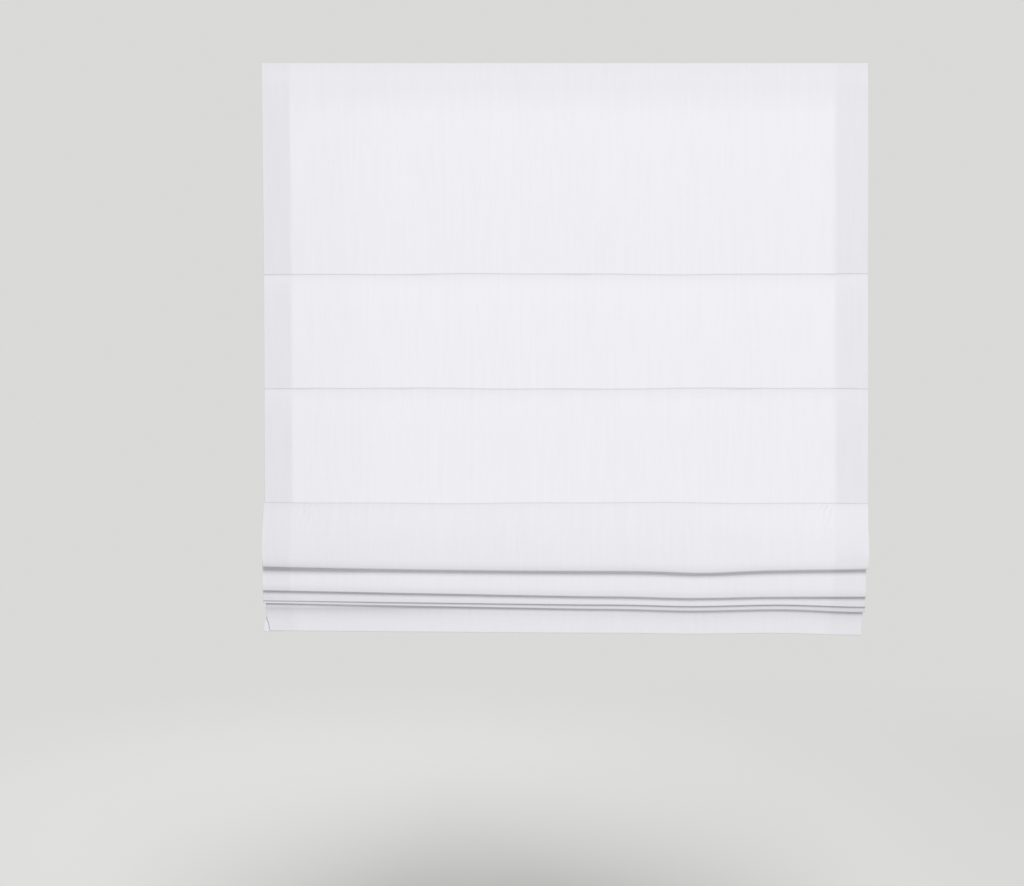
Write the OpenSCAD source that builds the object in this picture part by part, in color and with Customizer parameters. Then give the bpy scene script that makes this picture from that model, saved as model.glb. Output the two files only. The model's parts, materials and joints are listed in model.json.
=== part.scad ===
// Cordless roman blind, half raised: a spring-lift headrail carries one flat cloth with seven ribs.
// +X is the viewer's right, -Y faces the room, +Z is up. Z = 0 is the face of the ceiling brackets.

/* [Cloth] */
// Finished width of the cloth
cloth_w = 1200; // [700:10:1800]
// Thickness of one layer of cloth
cloth_t = 0.8; // [0.5:0.1:1]
// Width of the turned side hems
side_hem = 60; // [30:1:90]
// Cloth from its top edge down to the first rib seam
top_panel = 416; // [300:1:600]
// Cloth between two rib seams
panel_pitch = 228; // [200:1:300]
// Cloth below the last rib
skirt = 156; // [130:1:220]
// How far the ribs hang behind the head of the cloth
set_back = 15; // [11:0.5:18]
// How far a hanging panel stands proud just below its seam
panel_belly = 2.5; // [0:0.1:5]

/* [Shown height] */
// How far the first gathered rib hangs below the last hanging one
first_drop = 61.5; // [40:0.5:120]
// How far the second gathered rib hangs below the first
second_drop = 23; // [12:0.5:40]
// Spacing of the ribs that lie gathered on each other
stack_pitch = 9.2; // [9:0.1:14]
// Distance between the two layers of the front fold
front_gap = 7.5; // [5:0.5:15]
// Distance between the two layers of the fold behind it
second_gap = 6.5; // [2.8:0.1:8]
// Distance between the two layers of the third fold
third_gap = 3; // [2.8:0.1:5]
// Distance between the two layers of the lowest fold
last_gap = 5; // [2.8:0.1:8]
// Distance between neighbouring folds
lobe_gap = 1.3; // [1.2:0.1:2.5]
// Tightest bend of the cloth at the bottom of a fold
tip_r = 1.35; // [1.3:0.05:1.4]
// Cloth that the swell of the front fold takes up
front_slack = 18; // [0:1:30]

/* [Ribs and rings] */
// Diameter of a rib
rib_d = 4; // [3:0.1:4.4]
// How far a rib ends inside the edge of the cloth
rib_inset = 8; // [4:1:30]
// Thickness of the rib pocket's tape
pocket_t = 0.5; // [0.3:0.1:0.6]
// Clearance of a rib in its pocket
pocket_clear = 0.1; // [0.05:0.05:0.2]
// How far a pocket ends inside the edge of the cloth
pocket_inset = 10; // [5:1:40]
// Height of the sewn strip above the pocket's tunnel
pocket_tab = 3; // [2.5:0.1:3.2]
// Height of the stitched line along that strip
stitch_h = 1; // [0.5:0.1:2]
// Outside diameter of a cord ring
ring_d = 10; // [9:0.5:12]
// Diameter of the eye in a cord ring
eye_d = 5; // [3:0.5:6]
// Height of a cord ring
ring_h = 2.4; // [1.6:0.1:4]
// Width of the foot that seats a ring on its pocket
ring_foot_w = 6; // [4:0.5:9]

/* [Bottom bar] */
// Height of the flat weight bar
bar_h = 25; // [15:1:28]
// Thickness of the weight bar
bar_t = 4; // [2.5:0.5:6]
// Radius along the weight bar's edges
bar_round = 0.8; // [0.3:0.1:1]
// How far the bar's end caps stop inside the edge of the cloth
bar_inset = 20; // [3:1:30]
// Wall of the bar's end caps
bar_cap_t = 1; // [0.6:0.1:1.2]
// Length of the bar's end caps
bar_cap_len = 18; // [10:1:40]
// Height of the bottom hem's pocket
hem_h = 32; // [30:1:60]

/* [Headrail] */
// Depth of the headrail
rail_d = 40; // [39:0.5:60]
// Height of the headrail
rail_h = 36; // [35:0.5:60]
// Wall of the headrail
rail_wall = 1.4; // [1:0.1:1.8]
// Width of the lips along the headrail's open top
lip_w = 7; // [5:0.5:8]
// Radius along the headrail's outer edges
rail_round = 2; // [0.5:0.1:3]
// How far the headrail's caps stop inside the edge of the cloth
rail_inset = 2; // [1:0.5:10]
// Thickness of an end cap's plate
cap_t = 2.5; // [1.5:0.1:5]
// Length of an end cap's plug
cap_plug = 12; // [6:1:30]
// Wall of an end cap's plug
cap_wall = 1.6; // [1:0.1:3]
// Clearance of a plug in the headrail
cap_clear = 0.15; // [0.1:0.05:0.3]
// Thickness of the hook tape and of the loop tape
tape_t = 1.5; // [1:0.1:2]
// Height of the hook and loop tapes
tape_h = 25; // [15:1:30]
// How far the tapes start below the headrail's top
tape_drop = 3; // [0:0.5:4]

/* [Brackets] */
// How far a bracket's middle lies inside the edge of the cloth
bracket_inset = 200; // [180:5:220]
// Width of a bracket
bracket_w = 40; // [36:1:60]
// Thickness of a bracket's steel
bracket_t = 1.5; // [1:0.1:2.5]
// Depth of a bracket's plate
bracket_d = 35; // [30:1:38]
// Radius of the corners of a bracket's plate
bracket_round = 4; // [1:0.5:8]
// Distance between a bracket's two screw holes
hole_pitch = 14; // [12:0.5:15]
// Diameter of a screw hole
hole_d = 4.5; // [3.5:0.1:5]
// Clearance between a bracket and the headrail
bracket_clear = 0.3; // [0.2:0.05:0.5]
// How far the hooks reach under the headrail's lips
hook_reach = 4.5; // [2:0.1:5]
// Width of each prong of the spring clip
prong_w = 10; // [6:0.5:11]
// Thickness of the spring clip
clip_t = 1; // [0.6:0.1:1.2]
// How far the spring clip stops inside the bracket's sides
clip_inset = 1; // [0:0.5:4]
// Steel left between a screw hole and the spring clip
hole_land = 1; // [0.5:0.1:2]

/* [Lift mechanism] */
// Diameter of a lift cord
cord_d = 1.4; // [1:0.1:1.8]
// How far the outer lift cords lie inside the edge of the cloth
cord_inset = 120; // [105:5:140]
// Width across the flats of the square lift rod
rod_across = 5; // [4:0.1:5.4]
// Play of the lift rod in the pieces that it drives
rod_clear = 0.05; // [0.03:0.01:0.1]
// How far the lift rod runs past the outer spools
rod_past = 8; // [5:1:40]
// How far the lift rod lies below the headrail's top
rod_drop = 13.5; // [13:0.1:14.5]
// Radius that the cord winds on
core_r = 7; // [6:0.1:8]
// Radius of a spool's flanges
flange_r = 9.5; // [9:0.1:10]
// Length of a spool between the outsides of its flanges
spool_len = 34; // [24:1:60]
// Thickness of a flange
flange_t = 1.5; // [1:0.1:2.5]
// Length of the cord wound on a spool
winding_len = 20; // [10:1:22]
// Radius of the journals on the lift rod
journal_r = 4.6; // [4.3:0.1:5.2]
// Running clearance of a journal
run_clear = 0.06; // [0.03:0.01:0.1]
// Thickness of the walls that carry the journals
cradle_wall = 2.5; // [1.5:0.1:4]
// Thickness of a cradle's base
cradle_base = 2; // [1.5:0.1:3]
// Radius of the nozzle that guides a cord through the headrail's floor
nozzle_r = 3.5; // [3:0.1:4.5]
// Radius of the cord's way through a nozzle
nozzle_bore_r = 1.6; // [1.2:0.1:2]
// Cradle base left behind a nozzle
nozzle_land = 1; // [0.5:0.1:3]
// Diameter of a cord anchor
anchor_d = 8; // [6:0.5:9]
// Length of a cord anchor
anchor_len = 11; // [8:0.5:20]
// Floor of a cord anchor under the end of its cord
anchor_floor = 2; // [1:0.5:4]

/* [Spring motor] */
// How far the motor lies to the right of the middle
motor_x = 240; // [120:5:300]
// Width of the spring's steel strip
strip_w = 12; // [8:0.5:20]
// Thickness of the strip where it crosses between the drums
strip_t = 0.4; // [0.3:0.05:0.6]
// Play of the spring's coils on the drums
coil_clear = 0.1; // [0.05:0.05:0.2]
// Core radius of the output drum
output_core_r = 5; // [4.6:0.1:5.4]
// Thickness of the spring wound on the output drum
output_coil_t = 0.8; // [0.6:0.1:1.2]
// Flange radius of the output drum
output_flange_r = 8; // [7:0.1:8.5]
// Core radius of the storage drum
store_core_r = 3.8; // [3:0.1:4.2]
// Thickness of the spring wound on the storage drum
store_coil_t = 2.4; // [1.5:0.1:2.8]
// Flange radius of the storage drum
store_flange_r = 7.5; // [7:0.1:8]
// Journal radius of the storage drum
store_journal_r = 2.4; // [1.5:0.1:2.8]
// How far the storage drum lies behind the lift rod
store_back = 14.2; // [13.8:0.1:15]
// How far the storage drum lies below the lift rod
store_below = 10.5; // [10:0.1:11.5]

// Radius of the posts that join the motor's case and cover
post_r = 2; // [1.5:0.1:2.5]
// How far the motor's walls stand round its bearings
bearing_wall = 2.5; // [1.5:0.1:3]

/* [Hidden] */
$fn = 48;
EDGE_FACETS = 16;
RIB_COUNT = 7;
HANGING = 3;
CORD_COUNT = 3;
RIBS = [for (k = [1 : RIB_COUNT]) k];
CORDS = [for (i = [1 : CORD_COUNT]) i];
SIDES = ["left", "right"];

function numbered(name, list) = [for (k = list) str(name, "_", k)];

EPS = 0.01;
ARC_STEPS = 10;
BELLY_STEPS = 12;

// Heights
rail_top = -(bracket_t + bracket_clear);
rail_bottom = rail_top - rail_h;
rail_floor = rail_bottom + rail_wall;
lip_bottom = rail_top - rail_wall;
seam_1 = rail_top - top_panel;
last_hanging = seam_1 - (HANGING - 1) * panel_pitch;
gathered_drops = [0, first_drop, first_drop + second_drop, first_drop + second_drop + stack_pitch,
    first_drop + second_drop + 2 * stack_pitch];
// Height of the seam of rib k, counted from 1 at the top
function seam_z(k) = k <= HANGING ? seam_1 - (k - 1) * panel_pitch : last_hanging - gathered_drops[k - HANGING];
last_seam = seam_z(RIB_COUNT);
cloth_bottom = last_seam - skirt;

// Depths, from the headrail's front through the tapes to the cloth, the ribs and the cords
hem_t = 2 * cloth_t;
head_y = -rail_d / 2 - 2 * tape_t - cloth_t / 2;
seam_y = head_y + set_back;
cloth_back = cloth_t / 2;
hem_back = hem_t - cloth_t / 2;
pocket_y = seam_y + hem_back;
pocket_r = rib_d / 2 + pocket_clear + pocket_t;
rib_y = pocket_y + pocket_r;
cord_y = rib_y + pocket_r + ring_d / 2;
function rib_z(k) = seam_z(k) - pocket_tab - pocket_r;

// The lift rod stands one winding radius in front of the cords
winding_clear = 0.05;
winding_r = core_r + winding_clear + cord_d / 2;
rod_y = cord_y - winding_r;
rod_z = rail_top - rod_drop;
cord_xs = [for (i = [-1 : 1]) i * (cloth_w / 2 - cord_inset)];
cradle_half = spool_len / 2 + run_clear + cradle_wall;
anchor_bottom = rib_z(RIB_COUNT) - ring_h / 2 - anchor_len;
cord_end = anchor_bottom + anchor_floor + EPS;

rail_len = cloth_w - 2 * (rail_inset + cap_t);
bar_len = cloth_w - 2 * (bar_inset + bar_cap_t);
bar_gap = 0.2;
pocket_depth = bar_t + 2 * (bar_cap_t + hem_back + bar_gap);
bar_y = seam_y + pocket_depth / 2;
bar_z = cloth_bottom + cloth_t / 2 + pocket_depth / 2 + bar_h / 2;
hem_top = bar_z + bar_h / 2 + bar_cap_t + bar_gap;
bracket_x = cloth_w / 2 - bracket_inset;

store_y = rod_y + store_back;
store_z = rod_z - store_below;
strip_clear = 0.5;
drum_len = strip_w + 2 * (strip_clear + flange_t);
motor_half = drum_len / 2 + run_clear;

module along_x(len) rotate([90, 0, 90]) linear_extrude(len, center = true) children();
module bar_x(r, len) rotate([0, 90, 0]) cylinder(r = r, h = len, center = true);
module box(low, high) translate(low) cube(high - low);
// Rounds the outer corners of a flat outline
module rounded(r) offset(r, $fn = EDGE_FACETS) offset(delta = -r) children();
// Repeats a piece at each lift cord
module at_cord(i) translate([cord_xs[i - 1], 0, 0]) children();
function side_sign(side) = side == "left" ? -1 : 1;

// The cloth is a ribbon: a centre line in Y and Z, thickened by different amounts to its front and back.
// For a line that runs down, the back is towards +Y.
function turned(d) = [-d[1], d[0]] / norm(d);
// Offset vector at a corner between two segments, long enough to keep the thickness
function corner(n1, n2) = (n1 + n2) / (1 + n1 * n2);
function line_normals(p, first, last) = [
    for (i = [0 : len(p) - 1])
        i == 0 ? first
        : i == len(p) - 1 ? last
        : corner(turned(p[i] - p[i - 1]), turned(p[i + 1] - p[i]))
];
function ribbon(p, n, front, back) = concat(
    [for (i = [0 : len(p) - 1]) p[i] - front * n[i]],
    [for (i = [len(p) - 1 : -1 : 0]) p[i] + back * n[i]]
);

// Extrudes a centre line as cloth: one layer between the side hems, two layers in them
module cloth_along(p, first, last) {
    n = line_normals(p, first, last);
    along_x(cloth_w - 2 * side_hem) polygon(ribbon(p, n, cloth_t / 2, cloth_back));
    for (side = [-1, 1])
        translate([side * (cloth_w - side_hem) / 2, 0, 0])
            along_x(side_hem) polygon(ribbon(p, n, cloth_t / 2, hem_back));
}

BACKWARD = [1, 0];
UPWARD = [0, 1];

// Points of half an ellipse under a fold, from its front layer to its back layer
function fold_arc(front_y, back_y, z, h) = [
    for (i = [0 : ARC_STEPS])
        let (r = (back_y - front_y) / 2, a = 180 + 180 * i / ARC_STEPS)
        [front_y + r + r * cos(a), z + h * sin(a)]
];
// A fold rounds under like a drop: its height follows from its half gap and the tightest bend at its tip
function drop_h(r) = r * r / tip_r;
// Length of half an ellipse with the half axes r and h
function arc_len(r, h) = PI / 2 * (3 * (r + h) - sqrt((3 * r + h) * (r + 3 * h)));
// A hanging panel springs forward below its seam and comes back to the next one
BELLY_RISE = 8;
BELLY_CROWDING = 1.4;
function belly(u) = panel_belly * (1 - exp(-u * BELLY_RISE)) * (1 - u);
function panel_line(k) = [
    for (i = [0 : BELLY_STEPS])
        let (u = pow(i / BELLY_STEPS, BELLY_CROWDING))
        [seam_y - belly(u), seam_z(k) + u * (seam_z(k + 1) - seam_z(k))]
];
gaps = [front_gap, second_gap, third_gap, last_gap];
// Depth of the folds from rib first to rib j, one behind the other
function depth(first, j) = j <= first ? 0 : gaps[j - 1 - HANGING] + lobe_gap + depth(first, j - 1);
// How far the layer of rib k stands before the ribs at height z
function fan(k, z) = k >= RIB_COUNT ? 0
    : lookup(z, [for (j = [k : RIB_COUNT]) [seam_z(j), depth(k, j)]]);
function front_y(k, z) = seam_y - fan(k, z);
function back_y(k, z) = seam_y - lobe_gap - fan(k + 1, z);
// The front fold leans out from its seam, a little more steeply at the top
STEEP = 1.35;
function lean(u) = STEEP * u - (STEEP - 1) * pow(u, 3);
function swell_y(z) =
    seam_y - depth(HANGING, RIB_COUNT) * lean(min(1, (last_hanging - z) / (last_hanging - last_seam)));
function layer_y(k, z) = k == HANGING ? swell_y(z) : front_y(k, z);
// Centre of the rounding under fold k, from the cloth between its two ribs
function fold_z(k) =
    let (r = gaps[k - HANGING] / 2, slack = k == HANGING ? front_slack : 0)
    (seam_z(k) + seam_z(k + 1) + arc_len(r, drop_h(r)) + slack - panel_pitch) / 2;
// Layer down the front of fold k, its rounding, and the layer up to the next rib
function front_layer(k) = k == HANGING
    ? [for (i = [0 : BELLY_STEPS]) let (z = last_hanging + i / BELLY_STEPS * (last_seam - last_hanging))
        [layer_y(k, z), z]]
    : [for (j = [k : RIB_COUNT]) [layer_y(k, seam_z(j)), seam_z(j)]];
function back_layer(k) = [for (j = [RIB_COUNT : -1 : k + 1]) [back_y(k, seam_z(j)), seam_z(j)]];
function fold_line(k) = concat(
    front_layer(k),
    fold_arc(layer_y(k, last_seam), back_y(k, last_seam), fold_z(k), drop_h(gaps[k - HANGING] / 2)),
    back_layer(k)
);
// Turn over the seam of a gathered rib: the half before its top, and the half after
function turn_point(k, a) = [seam_y - lobe_gap / 2 + lobe_gap / 2 * cos(a), seam_z(k) + lobe_gap / 2 * sin(a)];
function turn_up(k) = [for (a = [150, 120, 90]) turn_point(k, a)];
function turn_down(k) = [for (a = [90, 60, 30]) turn_point(k, a)];

// Outer outline of the headrail, with rounded edges
module rail_outline() rounded(rail_round)
    translate([-rail_d / 2, rail_bottom]) square([rail_d, rail_h]);
// Channel with an even wall, open between its lips
module headrail() color("silver") {
    mouth = rail_d - 2 * lip_w;
    difference() {
        along_x(rail_len) difference() {
            rail_outline();
            offset(delta = -rail_wall) rail_outline();
            translate([-mouth / 2, lip_bottom - EPS]) square([mouth, rail_wall + 2 * EPS]);
        }
        for (i = CORDS) at_cord(i)
            translate([0, cord_y, rail_bottom - EPS]) cylinder(r = nozzle_r + cap_clear, h = rail_wall + 2 * EPS);
    }
}

module headrail_cap(side) color("white") {
    inner_y = rail_d / 2 - rail_wall - cap_clear;
    low = rail_floor + cap_clear;
    high = lip_bottom - cap_clear;
    mirror([side_sign(side) < 0 ? 1 : 0, 0, 0]) translate([rail_len / 2, 0, 0]) {
        translate([cap_t / 2, 0, 0]) along_x(cap_t) rail_outline();
        difference() {
            translate([-cap_plug / 2, 0, 0]) along_x(cap_plug) offset(delta = -rail_wall - cap_clear) rail_outline();
            box([-cap_plug - EPS, -inner_y + cap_wall, low + cap_wall],
                [-EPS, inner_y - cap_wall, high + EPS]);
        }
    }
}

hook_top = lip_bottom - bracket_clear;
hook_bottom = hook_top - bracket_t;
riser_y = rail_d / 2 - lip_w - bracket_clear;

// Steel plate with a bent front hook and two screw holes
module mounting_bracket(side) color("gainsboro")
    translate([side_sign(side) * bracket_x, 0, 0]) difference() {
        intersection() {
            along_x(bracket_w) polygon([
                [-bracket_d / 2, 0], [bracket_d / 2, 0], [bracket_d / 2, -bracket_t],
                [-riser_y + bracket_t, -bracket_t], [-riser_y + bracket_t, hook_bottom],
                [-riser_y - hook_reach, hook_bottom], [-riser_y - hook_reach, hook_top],
                [-riser_y, hook_top], [-riser_y, -bracket_t], [-bracket_d / 2, -bracket_t]
            ]);
            translate([0, 0, hook_bottom]) linear_extrude(-hook_bottom)
                rounded(bracket_round) square([bracket_w, max(bracket_d, 2 * (riser_y + hook_reach))], center = true);
        }
        for (y = [-1, 1] * hole_pitch / 2)
            translate([0, y, -bracket_t - EPS]) cylinder(d = hole_d, h = bracket_t + 2 * EPS);
    }

// Spring leaf under the plate: a bridge between the screws and two prongs under the rear lip
module bracket_clip(side) color("darkgray") {
    bridge_half = (hole_pitch - hole_d) / 2 - hole_land;
    clip_w = bracket_w - 2 * clip_inset;
    prong_gap = clip_w - 2 * prong_w;
    translate([side_sign(side) * bracket_x, 0, 0]) difference() {
        along_x(clip_w) polygon([
            [-bridge_half, -bracket_t], [riser_y, -bracket_t], [riser_y, hook_top],
            [riser_y + hook_reach, hook_top], [riser_y + hook_reach, hook_top - clip_t],
            [riser_y - clip_t, hook_top - clip_t], [riser_y - clip_t, -bracket_t - clip_t],
            [-bridge_half, -bracket_t - clip_t]
        ]);
        box([-prong_gap / 2, bridge_half, hook_bottom - clip_t], [prong_gap / 2, rail_d / 2, EPS]);
    }
}

tape_top = rail_top - tape_drop;
module hook_tape() color("whitesmoke")
    box([-rail_len / 2, -rail_d / 2 - tape_t, tape_top - tape_h], [rail_len / 2, -rail_d / 2, tape_top]);

// Sewn to the head of the cloth: thinner where it crosses the side hems
module loop_tape() color("white") {
    front = head_y + cloth_back;
    back = -rail_d / 2 - tape_t;
    single = cloth_w / 2 - side_hem;
    box([-rail_len / 2, head_y + hem_back, tape_top - tape_h], [rail_len / 2, back, tape_top]);
    box([-single, front, tape_top - tape_h], [single, back, tape_top]);
}

// Head of the cloth and the panels that hang flat, down to the last hanging rib
module cloth_panel() color("lavender") cloth_along(concat(
    [[head_y, rail_top], [head_y, rail_bottom]],
    [for (k = [1 : HANGING - 1]) for (p = panel_line(k)) if (p[1] > seam_z(k + 1) + EPS) p],
    [[seam_y, last_hanging]]
), BACKWARD, BACKWARD);

// The loose fold at the front, between the last hanging rib and the first gathered one
module cloth_front_fold() color("lavender")
    cloth_along(concat(fold_line(HANGING), turn_up(HANGING + 1)), BACKWARD, UPWARD);

hem_r = pocket_depth / 2;
hem_arc_z = cloth_bottom + cloth_t / 2 + hem_r;
// The folds that lie gathered, the skirt, and the bottom hem turned up round the weight bar
module cloth_gathered() color("lavender") {
    gathered = [for (k = [HANGING + 1 : RIB_COUNT - 1])
        for (p = concat(turn_down(k), fold_line(k), [turn_point(k + 1, 150), turn_point(k + 1, 120)])) p];
    skirt_line = concat(turn_down(RIB_COUNT), [[seam_y, last_seam]],
        fold_arc(seam_y, seam_y + pocket_depth, hem_arc_z, hem_r), [[seam_y + pocket_depth, hem_top]]);
    cloth_along(concat(gathered, skirt_line), UPWARD, -BACKWARD);
    cloth_along([[seam_y + pocket_depth, hem_top - cloth_t], [seam_y + pocket_depth, hem_top],
        [seam_y + cloth_t / 2, cloth_bottom + hem_h + pocket_depth]], -BACKWARD, -BACKWARD);
}

module rib(k) color("snow") translate([0, rib_y, rib_z(k)]) bar_x(rib_d / 2, cloth_w - 2 * rib_inset);

// Tape sewn across the back of the cloth, with a tunnel for its rib
module rib_pocket(k) color("white") {
    half = cloth_w / 2 - pocket_inset;
    single = cloth_w / 2 - side_hem;
    top = seam_z(k);
    difference() {
        union() {
            translate([0, rib_y, rib_z(k)]) bar_x(pocket_r, 2 * half);
            box([-half, pocket_y, rib_z(k)], [half, pocket_y + 2 * pocket_t, top]);
            box([-single, seam_y + cloth_back, top - stitch_h], [single, pocket_y + EPS, top]);
        }
        translate([0, rib_y, rib_z(k)]) bar_x(rib_d / 2 + pocket_clear, cloth_w);
    }
}

// Flat ring with an upright eye for the cord, and a foot hollowed to sit on the pocket
module cord_ring(k) {
    seat_clear = 0.05;
    difference() {
        union() {
            translate([0, cord_y, rib_z(k)]) cylinder(d = ring_d, h = ring_h, center = true);
            translate([0, (rib_y + cord_y) / 2, rib_z(k)])
                cube([ring_foot_w, cord_y - rib_y, ring_h], center = true);
        }
        translate([0, cord_y, rib_z(k)]) cylinder(d = eye_d, h = 2 * ring_h, center = true);
        translate([0, rib_y, rib_z(k)]) bar_x(pocket_r + seat_clear, 2 * ring_d);
    }
}
module cord_rings(first, last) color("white") for (k = [first : last], i = CORDS) at_cord(i) cord_ring(k);

module bar_stock() translate([0, bar_y, bar_z])
    along_x(bar_len) rounded(bar_round) square([bar_t, bar_h], center = true);
module bottom_bar() color("silver") bar_stock();

// Thin plastic sleeve closed at its outer end
module bar_cap(side) color("white") {
    mirror([side_sign(side) < 0 ? 1 : 0, 0, 0]) difference() {
        box([bar_len / 2 - bar_cap_len, bar_y - bar_t / 2 - bar_cap_t, bar_z - bar_h / 2 - bar_cap_t],
            [bar_len / 2 + bar_cap_t, bar_y + bar_t / 2 + bar_cap_t, bar_z + bar_h / 2 + bar_cap_t]);
        bar_stock();
    }
}

// Beads under the lowest rings, each bored for the end of its cord
module cord_anchors() color("white") for (i = CORDS) at_cord(i)
    translate([0, cord_y, anchor_bottom]) difference() {
        cylinder(d = anchor_d, h = anchor_len);
        translate([0, 0, anchor_floor]) cylinder(r = cord_d / 2 + winding_clear, h = anchor_len);
    }

module lift_rod() color("lightgray") translate([0, rod_y, rod_z])
    cube([2 * (cord_xs[CORD_COUNT - 1] + cradle_half + rod_past), rod_across, rod_across], center = true);

// Core, two flanges and two journals, with a square way for the lift rod
module driven_drum(core, flange, length, journal_len) difference() {
    union() {
        bar_x(core, length);
        for (s = [-1, 1]) translate([s * (length - flange_t) / 2, 0, 0]) bar_x(flange, flange_t);
        bar_x(journal_r, length + 2 * journal_len);
    }
    cube([2 * length, rod_across + 2 * rod_clear, rod_across + 2 * rod_clear], center = true);
}

module cord_spool(i) color("ivory") at_cord(i) translate([0, rod_y, rod_z])
    driven_drum(core_r, flange_r, spool_len, cradle_wall + run_clear);

// Floor plate with two slotted walls for the journals and a nozzle through the headrail's floor
module spool_cradle(i) color("white") {
    foot_front = rod_y - flange_r;
    foot_back = cord_y + nozzle_r + nozzle_land;
    wall_half = journal_r + cradle_wall;
    at_cord(i) difference() {
        union() {
            box([-cradle_half, foot_front, rail_floor], [cradle_half, foot_back, rail_floor + cradle_base]);
            translate([0, cord_y, rail_bottom]) cylinder(r = nozzle_r, h = rail_wall + EPS);
            for (s = [-1, 1]) translate([s * (cradle_half - cradle_wall / 2), 0, 0])
                box([-cradle_wall / 2, rod_y - wall_half, rail_floor],
                    [cradle_wall / 2, rod_y + wall_half, rod_z + journal_r]);
        }
        translate([0, rod_y, rod_z]) bar_x(journal_r + run_clear, 3 * cradle_half);
        box([-2 * cradle_half, rod_y - journal_r - run_clear, rod_z],
            [2 * cradle_half, rod_y + journal_r + run_clear, rail_top]);
        translate([0, cord_y, rail_bottom - EPS])
            cylinder(r = nozzle_bore_r, h = rail_wall + cradle_base + 3 * EPS);
    }
}

// Turns on the spool, and the straight run through the rings to the anchor
module lift_cord(i) color("white") at_cord(i) {
    translate([0, rod_y, rod_z]) difference() {
        bar_x(core_r + winding_clear + cord_d, winding_len);
        bar_x(core_r + winding_clear, 2 * winding_len);
    }
    translate([0, cord_y, cord_end]) cylinder(d = cord_d, h = rod_z - cord_end);
}

// Outline of a motor wall: round over the bearings and the upper post, flat on the headrail's floor
motor_front = rod_y - journal_r - bearing_wall;
motor_back = store_y + store_journal_r + bearing_wall;
upper_post = [store_y, rod_z + journal_r - post_r];
lower_post = [motor_front + 2 * post_r, rail_floor + cradle_base + 2 * post_r];
module motor_outline() hull() {
    translate([rod_y, rod_z]) circle(journal_r + bearing_wall);
    translate([store_y, store_z]) circle(store_journal_r + bearing_wall);
    translate(upper_post) circle(2 * post_r);
    translate([motor_front, rail_floor]) square([motor_back - motor_front, cradle_base]);
}
module motor_wall() along_x(cradle_wall) difference() {
    motor_outline();
    translate([rod_y, rod_z]) circle(journal_r + run_clear);
    translate([store_y, store_z]) circle(store_journal_r + run_clear);
}
// Floor plate with one wall that carries both drums, and two posts for the cover
module motor_case() color("white") translate([motor_x, 0, 0]) {
    translate([-motor_half - cradle_wall / 2, 0, 0]) motor_wall();
    box([-motor_half - cradle_wall, motor_front, rail_floor], [motor_half, motor_back, rail_floor + cradle_base]);
    for (p = [upper_post, lower_post]) translate([-EPS / 2, p[0], p[1]]) bar_x(post_r, 2 * motor_half + EPS);
}
module motor_cover() color("whitesmoke")
    translate([motor_x + motor_half + cradle_wall / 2, 0, 0]) motor_wall();

module output_drum() color("ivory") translate([motor_x, rod_y, rod_z])
    driven_drum(output_core_r, output_flange_r, drum_len, cradle_wall + run_clear);

module storage_drum() color("ivory") translate([motor_x, store_y, store_z]) {
    bar_x(store_core_r, drum_len);
    for (s = [-1, 1]) translate([s * (drum_len - flange_t) / 2, 0, 0]) bar_x(store_flange_r, flange_t);
    bar_x(store_journal_r, drum_len + 2 * (cradle_wall + run_clear));
}

// Steel strip: its coils on the two drums, and the run that crosses between them
module spring_coil(core, thick) difference() {
    bar_x(core + coil_clear + thick, strip_w);
    bar_x(core + coil_clear, 2 * strip_w);
}
module power_spring() color("darkgray") translate([motor_x, 0, 0]) {
    r1 = output_core_r + coil_clear + output_coil_t - strip_t / 2;
    r2 = store_core_r + coil_clear + store_coil_t - strip_t / 2;
    apart = norm([store_back, store_below]);
    run = sqrt(apart * apart - (r1 + r2) * (r1 + r2));
    lean = atan2(-store_below, store_back) + asin((r1 + r2) / apart);
    translate([0, rod_y, rod_z]) spring_coil(output_core_r, output_coil_t);
    translate([0, store_y, store_z]) spring_coil(store_core_r, store_coil_t);
    // The crossing run touches the first coil below and the second above
    translate([0, rod_y, rod_z]) rotate([lean, 0, 0])
        translate([0, run / 2, -r1]) cube([strip_w, run, strip_t], center = true);
}

headrail();
for (side = SIDES) {
    headrail_cap(side);
    mounting_bracket(side);
    bracket_clip(side);
    bar_cap(side);
}
hook_tape();
loop_tape();
cloth_panel();
cloth_front_fold();
cloth_gathered();
for (k = RIBS) {
    rib(k);
    rib_pocket(k);
}
cord_rings(1, HANGING);  // cord_rings_hanging
cord_rings(HANGING + 1, RIB_COUNT);  // cord_rings_gathered
bottom_bar();
cord_anchors();
lift_rod();
for (i = CORDS) {
    cord_spool(i);
    spool_cradle(i);
    lift_cord(i);
}
motor_case();
motor_cover();
output_drum();
storage_drum();
power_spring();
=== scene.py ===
# %% [markdown]
# # A cordless roman blind
# A roman blind is one flat sheet of cloth with thin ribs sewn across its back. Cords run up the back
# through rings on the ribs to spools in a headrail. Here the blind is half raised: three panels hang
# flat, one loose fold rolls over in front, and the rest lies gathered in narrow folds above the hem.
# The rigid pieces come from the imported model. This lesson makes the cloth and the cords as surfaces,
# gives every piece its finish, and sets up the light and the camera.

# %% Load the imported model
import json
import math

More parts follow.
